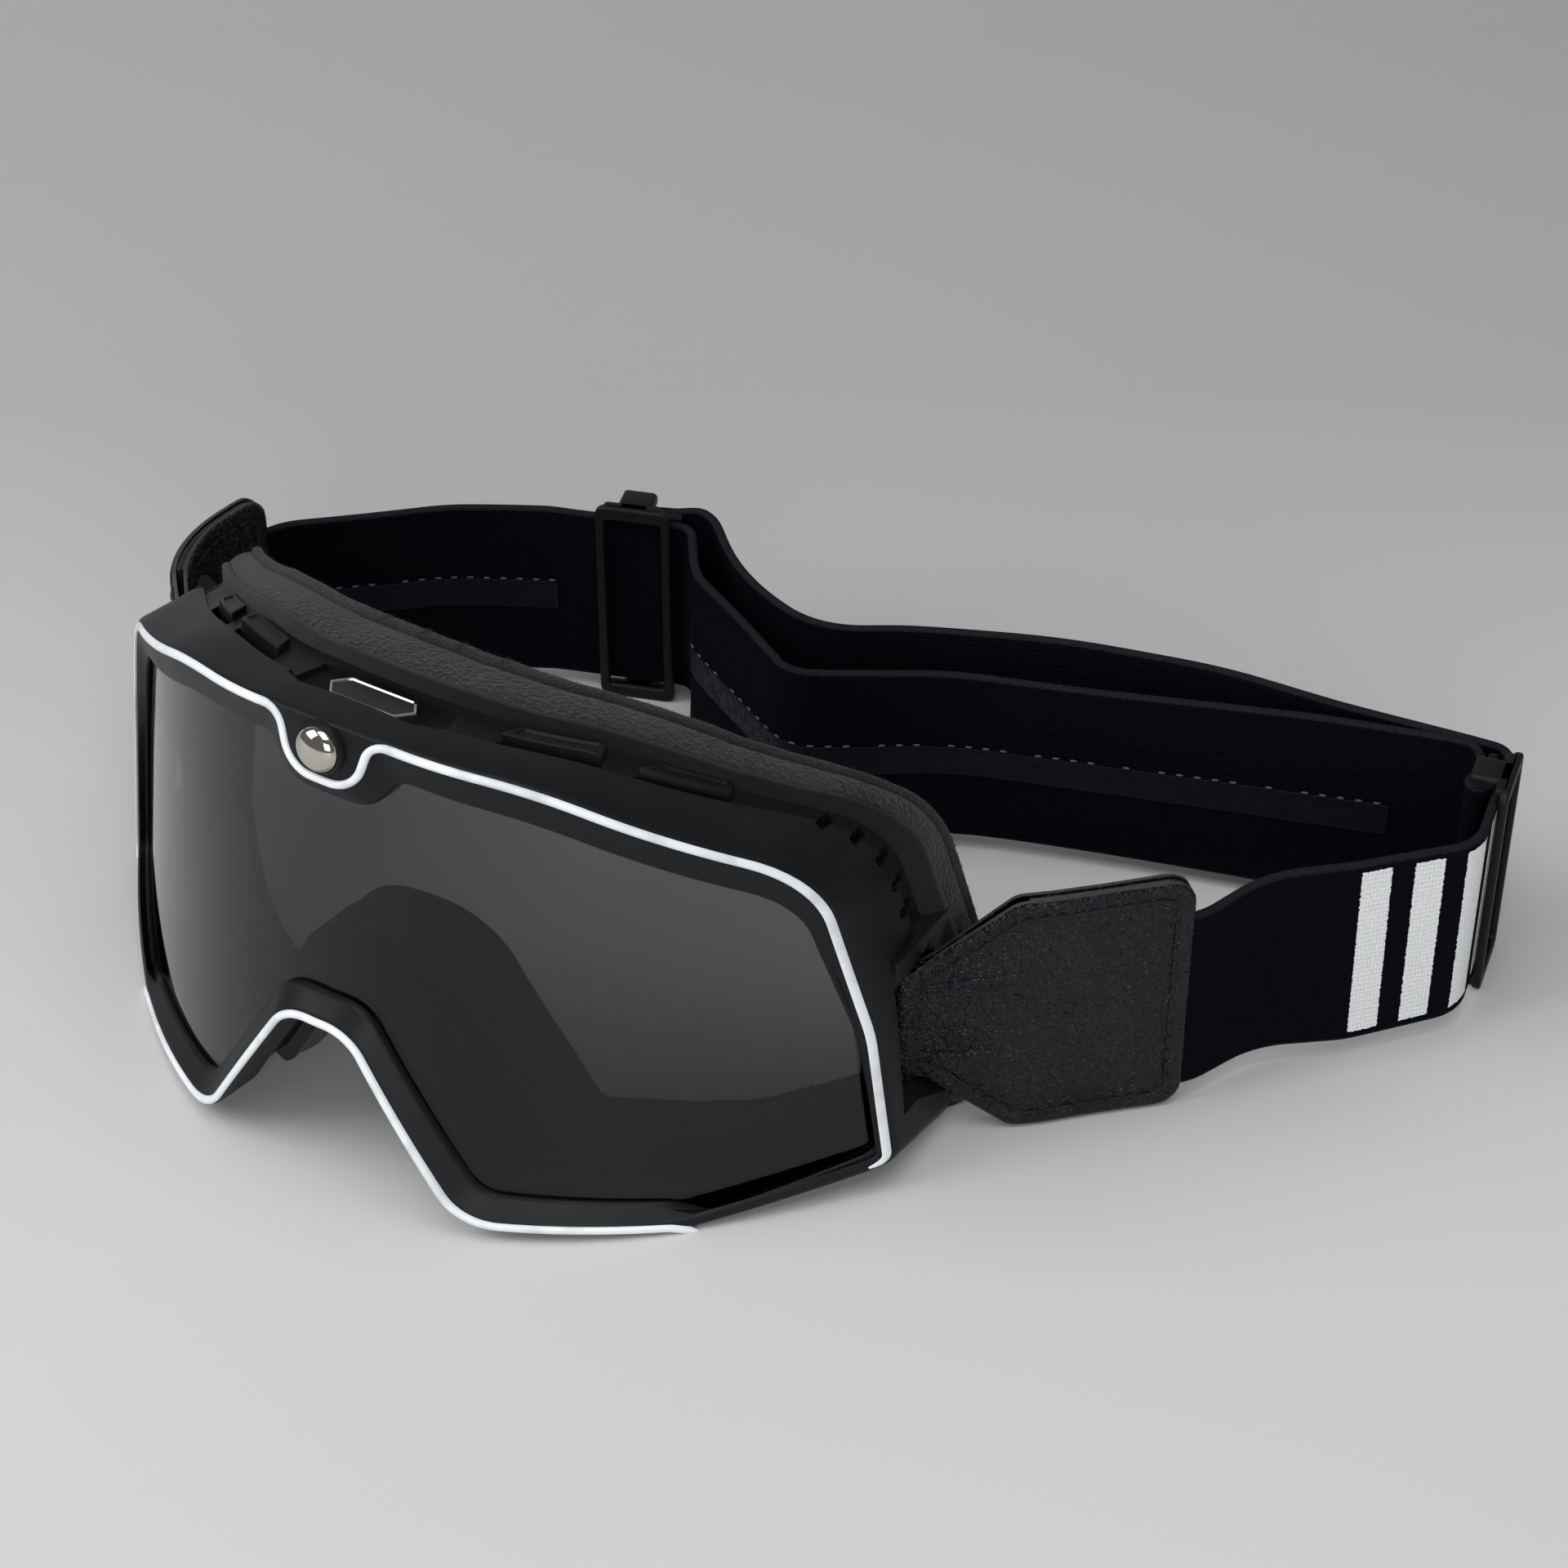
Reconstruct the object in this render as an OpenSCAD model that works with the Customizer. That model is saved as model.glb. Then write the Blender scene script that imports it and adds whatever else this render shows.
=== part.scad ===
// Motorcycle goggles: a wrapped rubber frame with a tinted lens, three-layer face foam,
// leather strap tabs pinned to the frame, and two elastic bands joined by two sliders.
// The origin is the nose bridge on the face side of the foam. +X is to the right seen from the
// front, +Y is towards the wearer and +Z is up. The goggles stand on a table below the origin.

/* [Frame] */
// Width over the front rim
front_w = 181; // [150:0.5:220]
// Rise of the top edge above the middle of the lens
brow_rise = 50.8; // [43:0.1:61]
// Drop of the cheeks below the middle of the lens
cheek_drop = 49.4; // [42:0.1:59]
// Height of the nose arch above the cheeks
nose_arch_h = 35.2; // [29:0.1:42]
// Width of the nose arch at its top
nose_top_w = 12.8; // [10:0.1:16]
// Width of the nose arch at its foot
nose_foot_w = 57.2; // [48:0.1:68]
// How far the side edges lie behind the nose
wrap_d = 59; // [49:0.5:71]
// Depth of the frame from the front rim to the foam, at the nose
depth_mid = 21.5; // [18:0.5:26]
// The same depth at the sides
depth_side = 28; // [26:0.5:34]
// Thickness of the outer wall
wall = 2.8; // [2:0.1:3.4]
// How far the rear half of the wall steps in
rear_step = 1.6; // [1.2:0.1:2]
// Width of the flange that the foam is glued to
flange_w = 9; // [7:0.5:11]
// Thickness of that flange
flange_t = 2.2; // [1.6:0.1:2.8]
// Backward lean of the goggles as they stand
lean = 9; // [7:0.5:11]
// Height of the nose bridge above the table
bridge_h = 39; // [35:0.5:46]

/* [Lens and trim] */
// Thickness of the lens
lens_t = 1.4; // [1:0.1:1.7]
// How far the lens lies behind the rim
lens_recess = 4.2; // [3.5:0.1:5]
// How far the lens reaches into its groove
lens_grip = 1.5; // [1.2:0.1:1.8]
// Gap between the lens and its groove, on each side
lens_gap = 0.1; // [0.05:0.01:0.15]
// Depth of the front rim, from its crest to behind the lens
rim_d = 8; // [7:0.1:10]
// Width of the white piping
piping_w = 1.7; // [1.4:0.1:2]
// How far the piping stands out of the rim
piping_proud = 0.5; // [0.4:0.1:0.7]
// How deep the piping is set into the rim
piping_set = 0.8; // [0.6:0.1:1]
// Diameter of the stud's dome
stud_d = 8.6; // [7.2:0.1:9]
// Diameter of the stud's shank
shank_d = 3.2; // [2.6:0.1:3.8]
// Length of the nameplate
plate_l = 19; // [16:0.5:22]
// Depth of the nameplate, front to back
plate_w = 7.2; // [6:0.1:7.4]
// Thickness of the nameplate
plate_t = 0.9; // [0.7:0.1:1.1]

/* [Foam] */
// Thickness of the firm foam backing
foam_base_t = 1.5; // [1.2:0.1:1.8]
// Thickness of the soft foam
foam_core_t = 10.5; // [8.5:0.5:12.5]
// Thickness of the fleece that meets the face
fleece_t = 3.5; // [2.9:0.1:4.2]
// How far the foam stands out past the outline of the rim
foam_out = 1.4; // [1:0.1:1.6]
// Width of the foam ring
foam_w = 12; // [10:0.5:14]

/* [Strap] */
// Width of the elastic bands
band_w = 42; // [35:0.5:50.5]
// Thickness of the elastic bands
band_t = 1.6; // [1.3:0.1:2]
// Thickness of each leather layer of a tab
leather_t = 1.3; // [1:0.1:1.6]
// Length of a tab from its pivot
tab_l = 54; // [46:0.5:60]
// Height of a tab at its rear end
tab_h = 54; // [48:0.5:60]
// Height of a tab's narrow front end
tab_nose_h = 26; // [22:0.5:31]
// Diameter of the steel bars that the tabs pivot on
bar_d = 3; // [2.4:0.1:3.6]
// Clearance around a moving or sliding piece
run_gap = 0.3; // [0.25:0.01:0.36]
// Length of a slider along the band
slider_l = 16.5; // [15.5:0.5:19]
// Thickness of a slider's bars
slider_bar_t = 1.8; // [1.5:0.1:2.2]
// Height of a slider's top and bottom rails
rail_h = 3; // [2.5:0.1:3.6]
// Width of the silicone grip strip
grip_w = 7; // [6:0.5:8.5]
// Thickness of the silicone grip strip
grip_t = 0.5; // [0.4:0.1:0.6]

/* [Hidden] */
arc_step = 15; // turn between two points of a rounded corner, in degrees
plan_steps = 24; // spans of the wrapped surfaces
half_w = front_w / 2;
table_z = -bridge_h;
big = 400;
rod_fn = 48;
// The bridge, in the frame's own upright axes: x, depth behind the rim, height above mid-lens
bridge_y = depth_mid + foam_base_t + foam_core_t + fleece_t;
bridge_z = -cheek_drop + nose_arch_h + foam_w * 0.55;

// ---- Plane geometry ----
function unit(v) = v / norm(v);
function left_of(v) = [-v[1], v[0]];
function turned(v, a) = [v[0] * cos(a) - v[1] * sin(a), v[0] * sin(a) + v[1] * cos(a)];
function turn(u, v) = atan2(u[0] * v[1] - u[1] * v[0], u * v);
function xy(p) = [p[0], p[1]];
function flipped(p) = [-p[0], p[1], p[2]];
function reversed(list) = [for (i = [len(list) - 1:-1:0]) list[i]];

// The centre of the arc that rounds corner q between p and s
function arc_centre(p, q, s, r) =
    let (u = unit(q - p), t = turn(u, unit(s - q)))
    q - u * r * tan(abs(t) / 2) + left_of(u) * r * sign(t);

// The points of that arc
function corner(p, q, s, r) =
    let (u = unit(q - p), t = turn(u, unit(s - q)), n = max(1, ceil(abs(t) / arc_step)))
    abs(t) < 0.5 || r <= 0 ? [q] :
    let (c = arc_centre(p, q, s, r))
    [for (i = [0:n]) c + turned(left_of(u) * -sign(t) * r, t * i / n)];

// A closed outline, and an open path, through corners given as [x, y, radius]
function rounded_ring(c) = let (n = len(c))
    [for (i = [0:n - 1]) each corner(xy(c[(i + n - 1) % n]), xy(c[i]), xy(c[(i + 1) % n]), c[i][2])];
function rounded_path(c) = let (n = len(c))
    concat([xy(c[0])],
        [for (i = [1:n - 2]) each corner(xy(c[i - 1]), xy(c[i]), xy(c[i + 1]), c[i][2])],
        [xy(c[n - 1])]);

// The corners of a counter-clockwise outline moved inwards by d, with their radii kept parallel
function inset(c, d) = let (n = len(c))
    [for (i = [0:n - 1])
        let (q = xy(c[i]), u = unit(q - xy(c[(i + n - 1) % n])), v = unit(xy(c[(i + 1) % n]) - q),
            m = (left_of(u) + left_of(v)) / (1 + left_of(u) * left_of(v)))
        [q[0] + m[0] * d, q[1] + m[1] * d, max(0.5, c[i][2] - d * sign(turn(u, v)))]];

// An open path moved to its left by d
function shifted(p, d) = let (n = len(p))
    [for (i = [0:n - 1])
        let (u = unit(p[max(i, 1)] - p[max(i, 1) - 1]), v = unit(p[min(i + 1, n - 1)] - p[min(i, n - 2)]))
        p[i] + (left_of(u) + left_of(v)) / (1 + left_of(u) * left_of(v)) * d];
function strip(p, a, b) = concat(shifted(p, a), reversed(shifted(p, b)));

// Lengths along a path, the point at one of them, and the stretch between two
function lengths(p, i = 1, done = [0]) = i >= len(p) ? done :
    lengths(p, i + 1, concat(done, [done[i - 1] + norm(p[i] - p[i - 1])]));
function last(list) = list[len(list) - 1];
function path_length(p) = last(lengths(p));
function point_at(p, s) = let (c = lengths(p), i = max([for (k = [0:len(c) - 2]) if (c[k] <= s) k]))
    p[i] + (p[i + 1] - p[i]) * (s - c[i]) / (c[i + 1] - c[i]);
function stretch(p, a, b) = let (c = lengths(p))
    concat([point_at(p, a)], [for (i = [0:len(p) - 1]) if (c[i] > a + 0.01 && c[i] < b - 0.01) p[i]],
        [point_at(p, b)]);

// ---- Outlines of the frame, seen from the front, as right halves from the nose arch to the brow ----
brow_x = 38;
brow_fall = 5.6;
shoulder_in = 13;
shoulder_fall = 23.3;
side_in = 4;
side_z = -8;
heel_rise = 11.9;
cheek_end_in = 28.5;
outer_half = [
    [nose_top_w / 2, -cheek_drop + nose_arch_h, 8],
    [nose_foot_w / 2, -cheek_drop, 12.5],
    [half_w - cheek_end_in, -cheek_drop + 1.1, 20],
    [half_w, -cheek_drop + heel_rise, 4],
    [half_w - side_in, side_z, 60],
    [half_w - shoulder_in, brow_rise - shoulder_fall, 22],
    [brow_x, brow_rise - brow_fall, 60],
    [0, brow_rise, 150]];
function whole(half) = concat(half, [for (c = reversed(half)) if (c[0] > 0) flipped(c)]);
outer = whole(outer_half);

crest_in = 1.2; // from the outer edge to the middle of the piping
crest = inset(outer, crest_in);
dip_top_x = 9.9;
dip_x = 6.9;
stud_z = brow_rise - 6.9;
dip_z = stud_z - 6.5;
dip = [[dip_top_x, brow_rise - 2.7, 4], [dip_x, dip_z, 6.4]]; // where the piping passes under the stud

opening_half = [
    [nose_top_w / 2 + 2.3, -cheek_drop + nose_arch_h + 5.9, 9],
    [nose_foot_w / 2 + 2.4, -cheek_drop + 6.4, 7],
    [half_w - 30.5, -cheek_drop + 6.4, 4],
    [half_w - 24.5, -cheek_drop + 3.8, 3],
    [half_w - 3.7, -cheek_drop + heel_rise + 2.2, 3.5],
    [half_w - side_in - 4.3, side_z, 60],
    [half_w - shoulder_in - 4.2, brow_rise - shoulder_fall - 7, 16],
    [brow_x - 1.2, brow_rise - brow_fall - 8.8, 60],
    [dip_top_x + 3.9, brow_rise - 10.6, 4],
    [dip_x + 1.9, dip_z - 4.4, 7]];
opening = whole(opening_half);

// The two lines of piping, from their right end to their left end
function across(half) = concat(half, [for (c = reversed(half)) flipped(c)]);
upper_line = rounded_path(across(concat([[crest[3][0] - 2.2, crest[3][1] - 1, 0],
    [crest[3][0], crest[3][1], 2.5]], [for (i = [4:6]) crest[i]], dip)));
lower_line = rounded_path(across([[crest[2][0] + 3.6, crest[2][1] - 1, 0],
    [crest[2][0], crest[2][1], 5], crest[1], crest[0]]));

// ---- Wrapped surfaces: depth behind the front of the nose, at a distance x from the middle ----
function front_y(x) = wrap_d * pow(x / half_w, 2);
function back_y(x) = depth_mid + (wrap_d + depth_side - depth_mid) * pow(x / half_w, 2);
step_mid = 0.5; // where the wall steps in, as a share of the depth, at the nose
step_side = 0.75; // the same at the sides
step_x = 65;
function step_y(x) = let (s = min(1, abs(x) / step_x))
    front_y(x) + (back_y(x) - front_y(x)) * (step_mid + (step_side - step_mid) * s * s);
xs = [for (i = [0:plan_steps]) (half_w + 4) * (2 * i / plan_steps - 1)];

// Points of the front, step and back surfaces, moved back by d
function front_line(d) = [for (x = xs) [x, front_y(x) + d]];
function step_line(d) = [for (x = xs) [x, step_y(x) + d]];
function back_line(d) = [for (x = xs) [x, back_y(x) + d]];

// Everything between two such lines, and a prism from front to back over an outline
module between(a, b) {
    translate([0, 0, -big / 2]) linear_extrude(big) polygon(concat(a, reversed(b)));
}
module through(points) {
    translate([0, big / 2, 0]) rotate([90, 0, 0]) linear_extrude(big) polygon(points);
}
module ring(outside, inside, a, b) {
    intersection() {
        difference() {
            through(rounded_ring(outside));
            through(rounded_ring(inside));
        }
        between(a, b);
    }
}

// Puts upright frame geometry where the leaning goggles stand, and cuts it off at the table
module leaning() {
    rotate([-lean, 0, 0]) translate([0, -bridge_y, -bridge_z]) children();
}
module on_table() {
    difference() {
        children();
        translate([-big / 2, -big / 2, table_z - big]) cube(big);
    }
}

// ---- Frame ----
rear = inset(outer, rear_step);
rear_inside = inset(rear, wall);
foam_outside = inset(outer, -foam_out);
foam_inside = inset(foam_outside, foam_w);

// The top edge of the outline at a distance x from the middle
function top_z(x) = abs(x) < brow_x ? brow_rise - brow_fall * abs(x) / brow_x :
    brow_rise - brow_fall - (shoulder_fall - brow_fall) * (abs(x) - brow_x)
        / (half_w - shoulder_in - brow_x);
function slope_at(x) = atan(2 * (wrap_d + depth_side - depth_mid) * x / (half_w * half_w));

vents = [[32, 16], [51, 13]]; // place along x, and length, of the slots on each side of the top
vent_back = 4.6; // from the middle of a slot back to the foam
slot_w = 2.6;
slot_depth = 8;
lip_t = 1.2;
lip_low = 2.4; // of the lips, below and above the top edge
lip_high = 0.4;
module at_vent(x) {
    translate([x, back_y(x) - vent_back, top_z(x)])
        rotate([0, atan((top_z(x - 1) - top_z(x + 1)) / 2), 0]) rotate([0, 0, slope_at(x)]) children();
}
module top_slots() {
    for (v = vents, side = [-1, 1])
        at_vent(side * v[0]) translate([-v[1] / 2, -slot_w / 2, -slot_depth])
            cube([v[1], slot_w, 2 * slot_depth]);
}
module louvres() {
    for (v = vents, side = [-1, 1])
        at_vent(side * v[0]) translate([-v[1] / 2, slot_w / 2, -lip_low])
            cube([v[1], lip_t, lip_low + lip_high]);
}

// Five small slots round each shoulder: in from the side, below the top, and lean out from upright
shoulder_slots = [[24.5, 19.8, 30], [20, 22.3, 40], [16, 26.3, 50], [12.9, 31.3, 60], [10.9, 37, 70]];
small_slot = [2.2, 4.6, 12];
small_slot_back = 4.5; // from the middle of a small slot back to the foam
module side_slots() {
    for (p = shoulder_slots, side = [-1, 1]) {
        x = side * (half_w - p[0]);
        translate([x, back_y(x) - small_slot_back, brow_rise - p[1]])
            rotate([0, side * p[2], 0]) cube(small_slot, center = true);
    }
}

// The recess for the nameplate, in the top between the rim and the foam
pocket_half = plate_l / 2 + 8;
pocket_front = rim_d + 1.4;
pocket_rear = depth_mid - 1.2;
pocket_drop = 5;
pocket_t = 2.4;
pocket_cut = 2.6; // its cut front corners
pocket_lap = 3; // of its floor past its sides
module pocket_bottom() {
    translate([-pocket_half - pocket_lap, rim_d - 1, brow_rise - pocket_drop - pocket_t])
        cube([2 * (pocket_half + pocket_lap), depth_mid - rim_d + 1 + pocket_lap, pocket_t]);
}
module pocket() {
    translate([0, 0, brow_rise - pocket_drop]) linear_extrude(12)
        polygon([[-pocket_half, pocket_front + pocket_cut], [-pocket_half + 5, pocket_front],
            [pocket_half - 5, pocket_front], [pocket_half, pocket_front + pocket_cut],
            [pocket_half - 2, pocket_rear], [-pocket_half + 2, pocket_rear]]);
}

// The solid patch round the stud, above the dip
patch = [[-dip_x, dip_z - 1.2, 6.4], [dip_x, dip_z - 1.2, 6.4], [dip_top_x + 2, brow_rise - 3.5, 1],
    [0, brow_rise - 1, 100], [-dip_top_x - 2, brow_rise - 3.5, 1]];
crest_w = crest_in * 2 + 0.3;
bevel_back = 2; // from the crest back to the bevel inside it
stud_grip = 5; // thickness of rim between the stud's seat and its washer
module shell() {
    ring(outer, inset(outer, crest_w), front_line(0), front_line(rim_d));
    ring(inset(outer, 1), opening, front_line(bevel_back), front_line(rim_d));
    ring(outer, inset(outer, wall + rear_step), front_line(rim_d - 1), step_line(0));
    ring(rear, rear_inside, step_line(-2), back_line(0));
    ring(rear, inset(rear, flange_w), back_line(-flange_t), back_line(0));
    intersection() {
        through(rounded_ring(patch));
        between(front_line(0), front_line(rim_d));
    }
    intersection() {
        pocket_bottom();
        between(front_line(bevel_back), back_line(0));
    }
    louvres();
}

// The flat underside of the two cheeks, where the goggles stand on the table
module cheek_floor() {
    intersection() {
        leaning() intersection() {
            through(rounded_ring(outer));
            between(front_line(rim_d - 1), back_line(0));
        }
        translate([-big / 2, -big / 2, table_z]) cube([big, big, wall]);
    }
}

module piping_groove(line) {
    intersection() {
        through(strip(line, piping_w / 2, -piping_w / 2));
        between(front_line(-2), front_line(piping_set));
    }
}
module stud_hole() {
    translate([0, -3, stud_z]) rotate([-90, 0, 0]) {
        cylinder(h = rim_d + 6, d = shank_d + 0.1, $fn = rod_fn);
        translate([0, 0, stud_grip + 3])
            cylinder(h = rim_d - stud_grip + 0.8, d = stud_d + 0.2, $fn = rod_fn);
    }
}
module lens_groove() {
    intersection() {
        through(rounded_ring(inset(opening, -lens_grip - lens_gap)));
        between(front_line(lens_recess - lens_gap), front_line(lens_recess + lens_t + lens_gap));
    }
}

// Each strap tab pivots on a bar that crosses a window in the side wall
pivot_y = 31;
pivot_in = 7.6; // from the side of the rim in to the bars
pivot_x = half_w - pivot_in;
tab_mid_z = table_z + 0.4 + tab_h / 2;
window_h = tab_nose_h + 2 * run_gap;
bar_l = window_h + 10;
eye_r = bar_d / 2 + run_gap / 2 + leather_t;
eye_room = 0.8;
window_y = [pivot_y - eye_r - eye_room, pivot_y + eye_r + eye_room]; // round the eye
window_flare = 0.6; // how fast its front edge comes forward towards the outside
window_rear = [1, 6.5, 18.5]; // its rear edge: out from the bar, then back from it at both ends
block_wall = 3; // of the block round the eye
block_out = 2.6;
block = [[pivot_x - eye_r - block_wall, pivot_y - 2 * block_wall],
    [pivot_x + block_out, pivot_y - 2 * block_wall],
    [pivot_x + block_out, pivot_y + 15], [pivot_x - eye_r - block_wall, pivot_y + 5]];
function sided(points, side) = side > 0 ? points : reversed([for (p = points) [-p[0], p[1]]]);
module strap_block(side) {
    intersection() {
        translate([0, 0, tab_mid_z - bar_l / 2]) linear_extrude(bar_l) polygon(sided(block, side));
        leaning() between(front_line(rim_d - 1), back_line(0));
    }
}
module strap_window(side) {
    x0 = pivot_x - eye_r - eye_room;
    x1 = half_w + 5;
    translate([0, 0, tab_mid_z - window_h / 2]) linear_extrude(window_h)
        polygon(sided([[x0, window_y[0]], [x1, window_y[0] - (x1 - x0) * window_flare],
            [x1, pivot_y + window_rear[2]], [pivot_x + window_rear[0], pivot_y + window_rear[1]],
            [x0, window_y[1]]], side));
}
module bar(side, r) {
    translate([side * pivot_x, pivot_y, tab_mid_z - bar_l / 2 + 1])
        cylinder(h = bar_l - 2, r = r, $fn = rod_fn);
}

module frame() color("#202224") difference() {
    union() {
        difference() {
            leaning() shell();
            translate([-big / 2, -big / 2, table_z - big]) cube(big);
        }
        cheek_floor();
        for (side = [-1, 1]) strap_block(side);
    }
    leaning() {
        lens_groove();
        piping_groove(upper_line);
        piping_groove(lower_line);
        stud_hole();
        pocket();
        top_slots();
        side_slots();
    }
    for (side = [-1, 1]) {
        strap_window(side);
        bar(side, bar_d / 2);
    }
}

module lens() color([0.16, 0.17, 0.18, 0.8]) leaning() intersection() {
    through(rounded_ring(inset(opening, -lens_grip)));
    between(front_line(lens_recess), front_line(lens_recess + lens_t));
}

// ---- Trim ----
module piping(line) color("#e9ebee") leaning() intersection() {
    through(strip(line, piping_w / 2, -piping_w / 2));
    between(front_line(-piping_proud), front_line(piping_set));
}
module upper_piping() { piping(upper_line); }
module lower_piping() { piping(lower_line); }

seat_t = 0.8;
seat_d = stud_d + 1.4;
dome_h = 2.4;
washer_t = 0.8;
dome_r = (pow(stud_d / 2, 2) + dome_h * dome_h) / (2 * dome_h);
module at_stud(depth) {
    leaning() translate([0, depth, stud_z]) rotate([-90, 0, 0]) children();
}
module stud() color("#b7bac0") at_stud(0) {
    translate([0, 0, -seat_t]) cylinder(h = stud_grip + seat_t + washer_t, d = shank_d, $fn = rod_fn);
    translate([0, 0, stud_grip + washer_t]) cylinder(h = washer_t, d = shank_d + 2, $fn = rod_fn);
    intersection() {
        translate([0, 0, -seat_t - dome_h]) cylinder(h = dome_h, d = stud_d, $fn = rod_fn);
        translate([0, 0, -seat_t - dome_h + dome_r]) sphere(dome_r, $fn = rod_fn);
    }
}
module disc_with_hole(h, d) {
    difference() {
        cylinder(h = h, d = d, $fn = rod_fn);
        translate([0, 0, -1]) cylinder(h = h + 2, d = shank_d + 0.1, $fn = rod_fn);
    }
}
module stud_seat() color("#17181a") at_stud(-seat_t) disc_with_hole(seat_t, seat_d);
module stud_washer() color("#b7bac0") at_stud(stud_grip) disc_with_hole(washer_t, stud_d);

plate_slant = 2.5;
plate_rim = 0.6;
module nameplate() color("#a9adb3") leaning()
    translate([-plate_l / 2, (pocket_front + pocket_rear - plate_w) / 2, brow_rise - pocket_drop])
        difference() {
            outline = [[plate_slant, 0], [plate_l - plate_slant, 0], [plate_l, plate_w / 2],
                [plate_l - plate_slant, plate_w], [plate_slant, plate_w], [0, plate_w / 2]];
            linear_extrude(plate_t) polygon(outline);
            translate([plate_l / 2, plate_w / 2, plate_t - 0.3]) linear_extrude(1)
                scale(1 - 2 * plate_rim / plate_w) translate([-plate_l / 2, -plate_w / 2]) polygon(outline);
        }

// ---- Foam ----
vent_foam_t = 2;
vent_foam_d = 5;
module vent_foam() color("#3a3a3a") leaning() intersection() {
    ring(rear_inside, inset(rear_inside, vent_foam_t), back_line(-flange_t - vent_foam_d),
        back_line(-flange_t));
    for (side = [-1, 1]) translate([side * 41 - 20, 0, 0]) cube([40, big, big]);
}
foam_lift = 0.3; // of the foam above the table
foam_side = 0.5; // how much thinner the soft layers are at the sides than at the nose
function foam_line(d) = [for (x = xs)
    [x, back_y(x) + min(d, foam_base_t) + max(0, d - foam_base_t) * (1 - foam_side * pow(x / half_w, 2))]];
module foam_ring(near, far) {
    difference() {
        leaning() ring(foam_outside, foam_inside, foam_line(near), foam_line(far));
        translate([-big / 2, -big / 2, table_z + foam_lift - big]) cube(big);
    }
}
core_start = foam_base_t;
fleece_start = foam_base_t + foam_core_t;
module foam_backing() color("#2b2b2c") foam_ring(0, core_start);
module foam_core() color("#4a4541") foam_ring(core_start, fleece_start);
module face_fleece() color("#232323") foam_ring(fleece_start, fleece_start + fleece_t);

// ---- Strap routes, seen from above ----
// Each band leaves its tab, runs straight through its slider and ends at the other slider.
right_slider_turn = [half_w + 63.3, 144.7]; // where the band turns just behind the slider
right_slider_dir = unit([-7, 34.5]);
left_slider_turn = [-half_w + 65.5, 126.7];
left_slider_dir = unit([32, 11]);
slider_back = slider_l / 2 + 4.2; // from the turn to the middle of the slider
right_slider_at = right_slider_turn - right_slider_dir * slider_back;
left_slider_at = left_slider_turn - left_slider_dir * slider_back;
slide_travel = 6;
straight_l = slider_l + slide_travel + 9;

// Depths in a slider: the band runs in the middle, the sewn end goes round the centre bar
centre_bar_r = 1.1;
end_gap = 0.1;
centre_bar_off = band_t / 2 + run_gap + band_t + end_gap + centre_bar_r;
end_half = band_t; // half the thickness of the doubled end
end_side = centre_bar_off + end_half + run_gap / 2 + band_t / 2; // the other band beside it
end_lead = 13;
end_slope = 9.5;
beside_start = 3.5; // of the other band, from the middle of the slider
function beside(at, dir, along) = let (p = at + left_of(dir) * end_side + dir * along) [p[0], p[1], 4];

right_straight = right_slider_turn - right_slider_dir * straight_l;
left_straight = left_slider_turn - left_slider_dir * straight_l;
right_route = rounded_path([[pivot_x, pivot_y, 0], [half_w + 12, 46, 60],
    [half_w + 34.5, 68.1, 14], [half_w + 40, 84.1, 25], [half_w + 53.5, 95.5, 30],
    [right_straight[0], right_straight[1], 10], [right_slider_turn[0], right_slider_turn[1], 4],
    [half_w + 26.5, 141.5, 90], [half_w + 3.7, 139.5, 90], [62, 130.2, 150],
    [31, 117.1, 60], [17, 108.1, 20], [-9, 118.7, 60],
    beside(left_slider_at, left_slider_dir, end_lead),
    beside(left_slider_at, left_slider_dir, beside_start)]);
left_route = rounded_path([[-pivot_x, pivot_y, 0], [-half_w - 14, 53.5, 30],
    [-half_w - 11, 81.5, 15], [-half_w + 16.5, 106.1, 40],
    [left_straight[0], left_straight[1], 10], [left_slider_turn[0], left_slider_turn[1], 4.5],
    [-15, 111.5, 12], [20.5, 91.9, 9], [48, 110.5, 60], [half_w + 9.4, 128.1, 150],
    beside(right_slider_at, right_slider_dir, end_slope),
    beside(right_slider_at, right_slider_dir, beside_start)]);

// A prism over part of a route, from one side of the band's middle to the other
module ribbon(route, a, b, low, high, z, h) {
    translate([0, 0, z]) linear_extrude(h) polygon(strip(stretch(route, a, b), high, low));
}
band_z = table_z + rail_h + 0.5;
front_start = 20; // of the band inside the tab, from the pivot
front_end = tab_l + 6;
cut_gap = 0.5;
module band_piece(route, a, b) {
    color("#1b1d24") ribbon(route, a, b, -band_t / 2, band_t / 2, band_z, band_w);
}
module right_band_front() { band_piece(right_route, front_start, front_end); }
module left_band_front() { band_piece(left_route, front_start, front_end); }
module right_band() { band_piece(right_route, front_end + cut_gap, path_length(right_route)); }
module left_band() { band_piece(left_route, front_end + cut_gap, path_length(left_route)); }

// ---- Tabs ----
narrow_l = 11; // of the part of a tab that passes through the window
shoulder_l = 20.5; // from the pivot to where a tab has its full height
shoulder_r = 5;
tab_corner_r = 5;
eye_trim = 0.3; // of the leather round the bar, at its top and bottom
function tab_outline(chord) = [[0, -tab_nose_h / 2, 1], [narrow_l, -tab_nose_h / 2, 3],
    [shoulder_l, -tab_h / 2, shoulder_r], [chord, -tab_h / 2, tab_corner_r],
    [chord, tab_h / 2, tab_corner_r], [shoulder_l, tab_h / 2, shoulder_r],
    [narrow_l, tab_nose_h / 2, 3], [0, tab_nose_h / 2, 1]];
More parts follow.
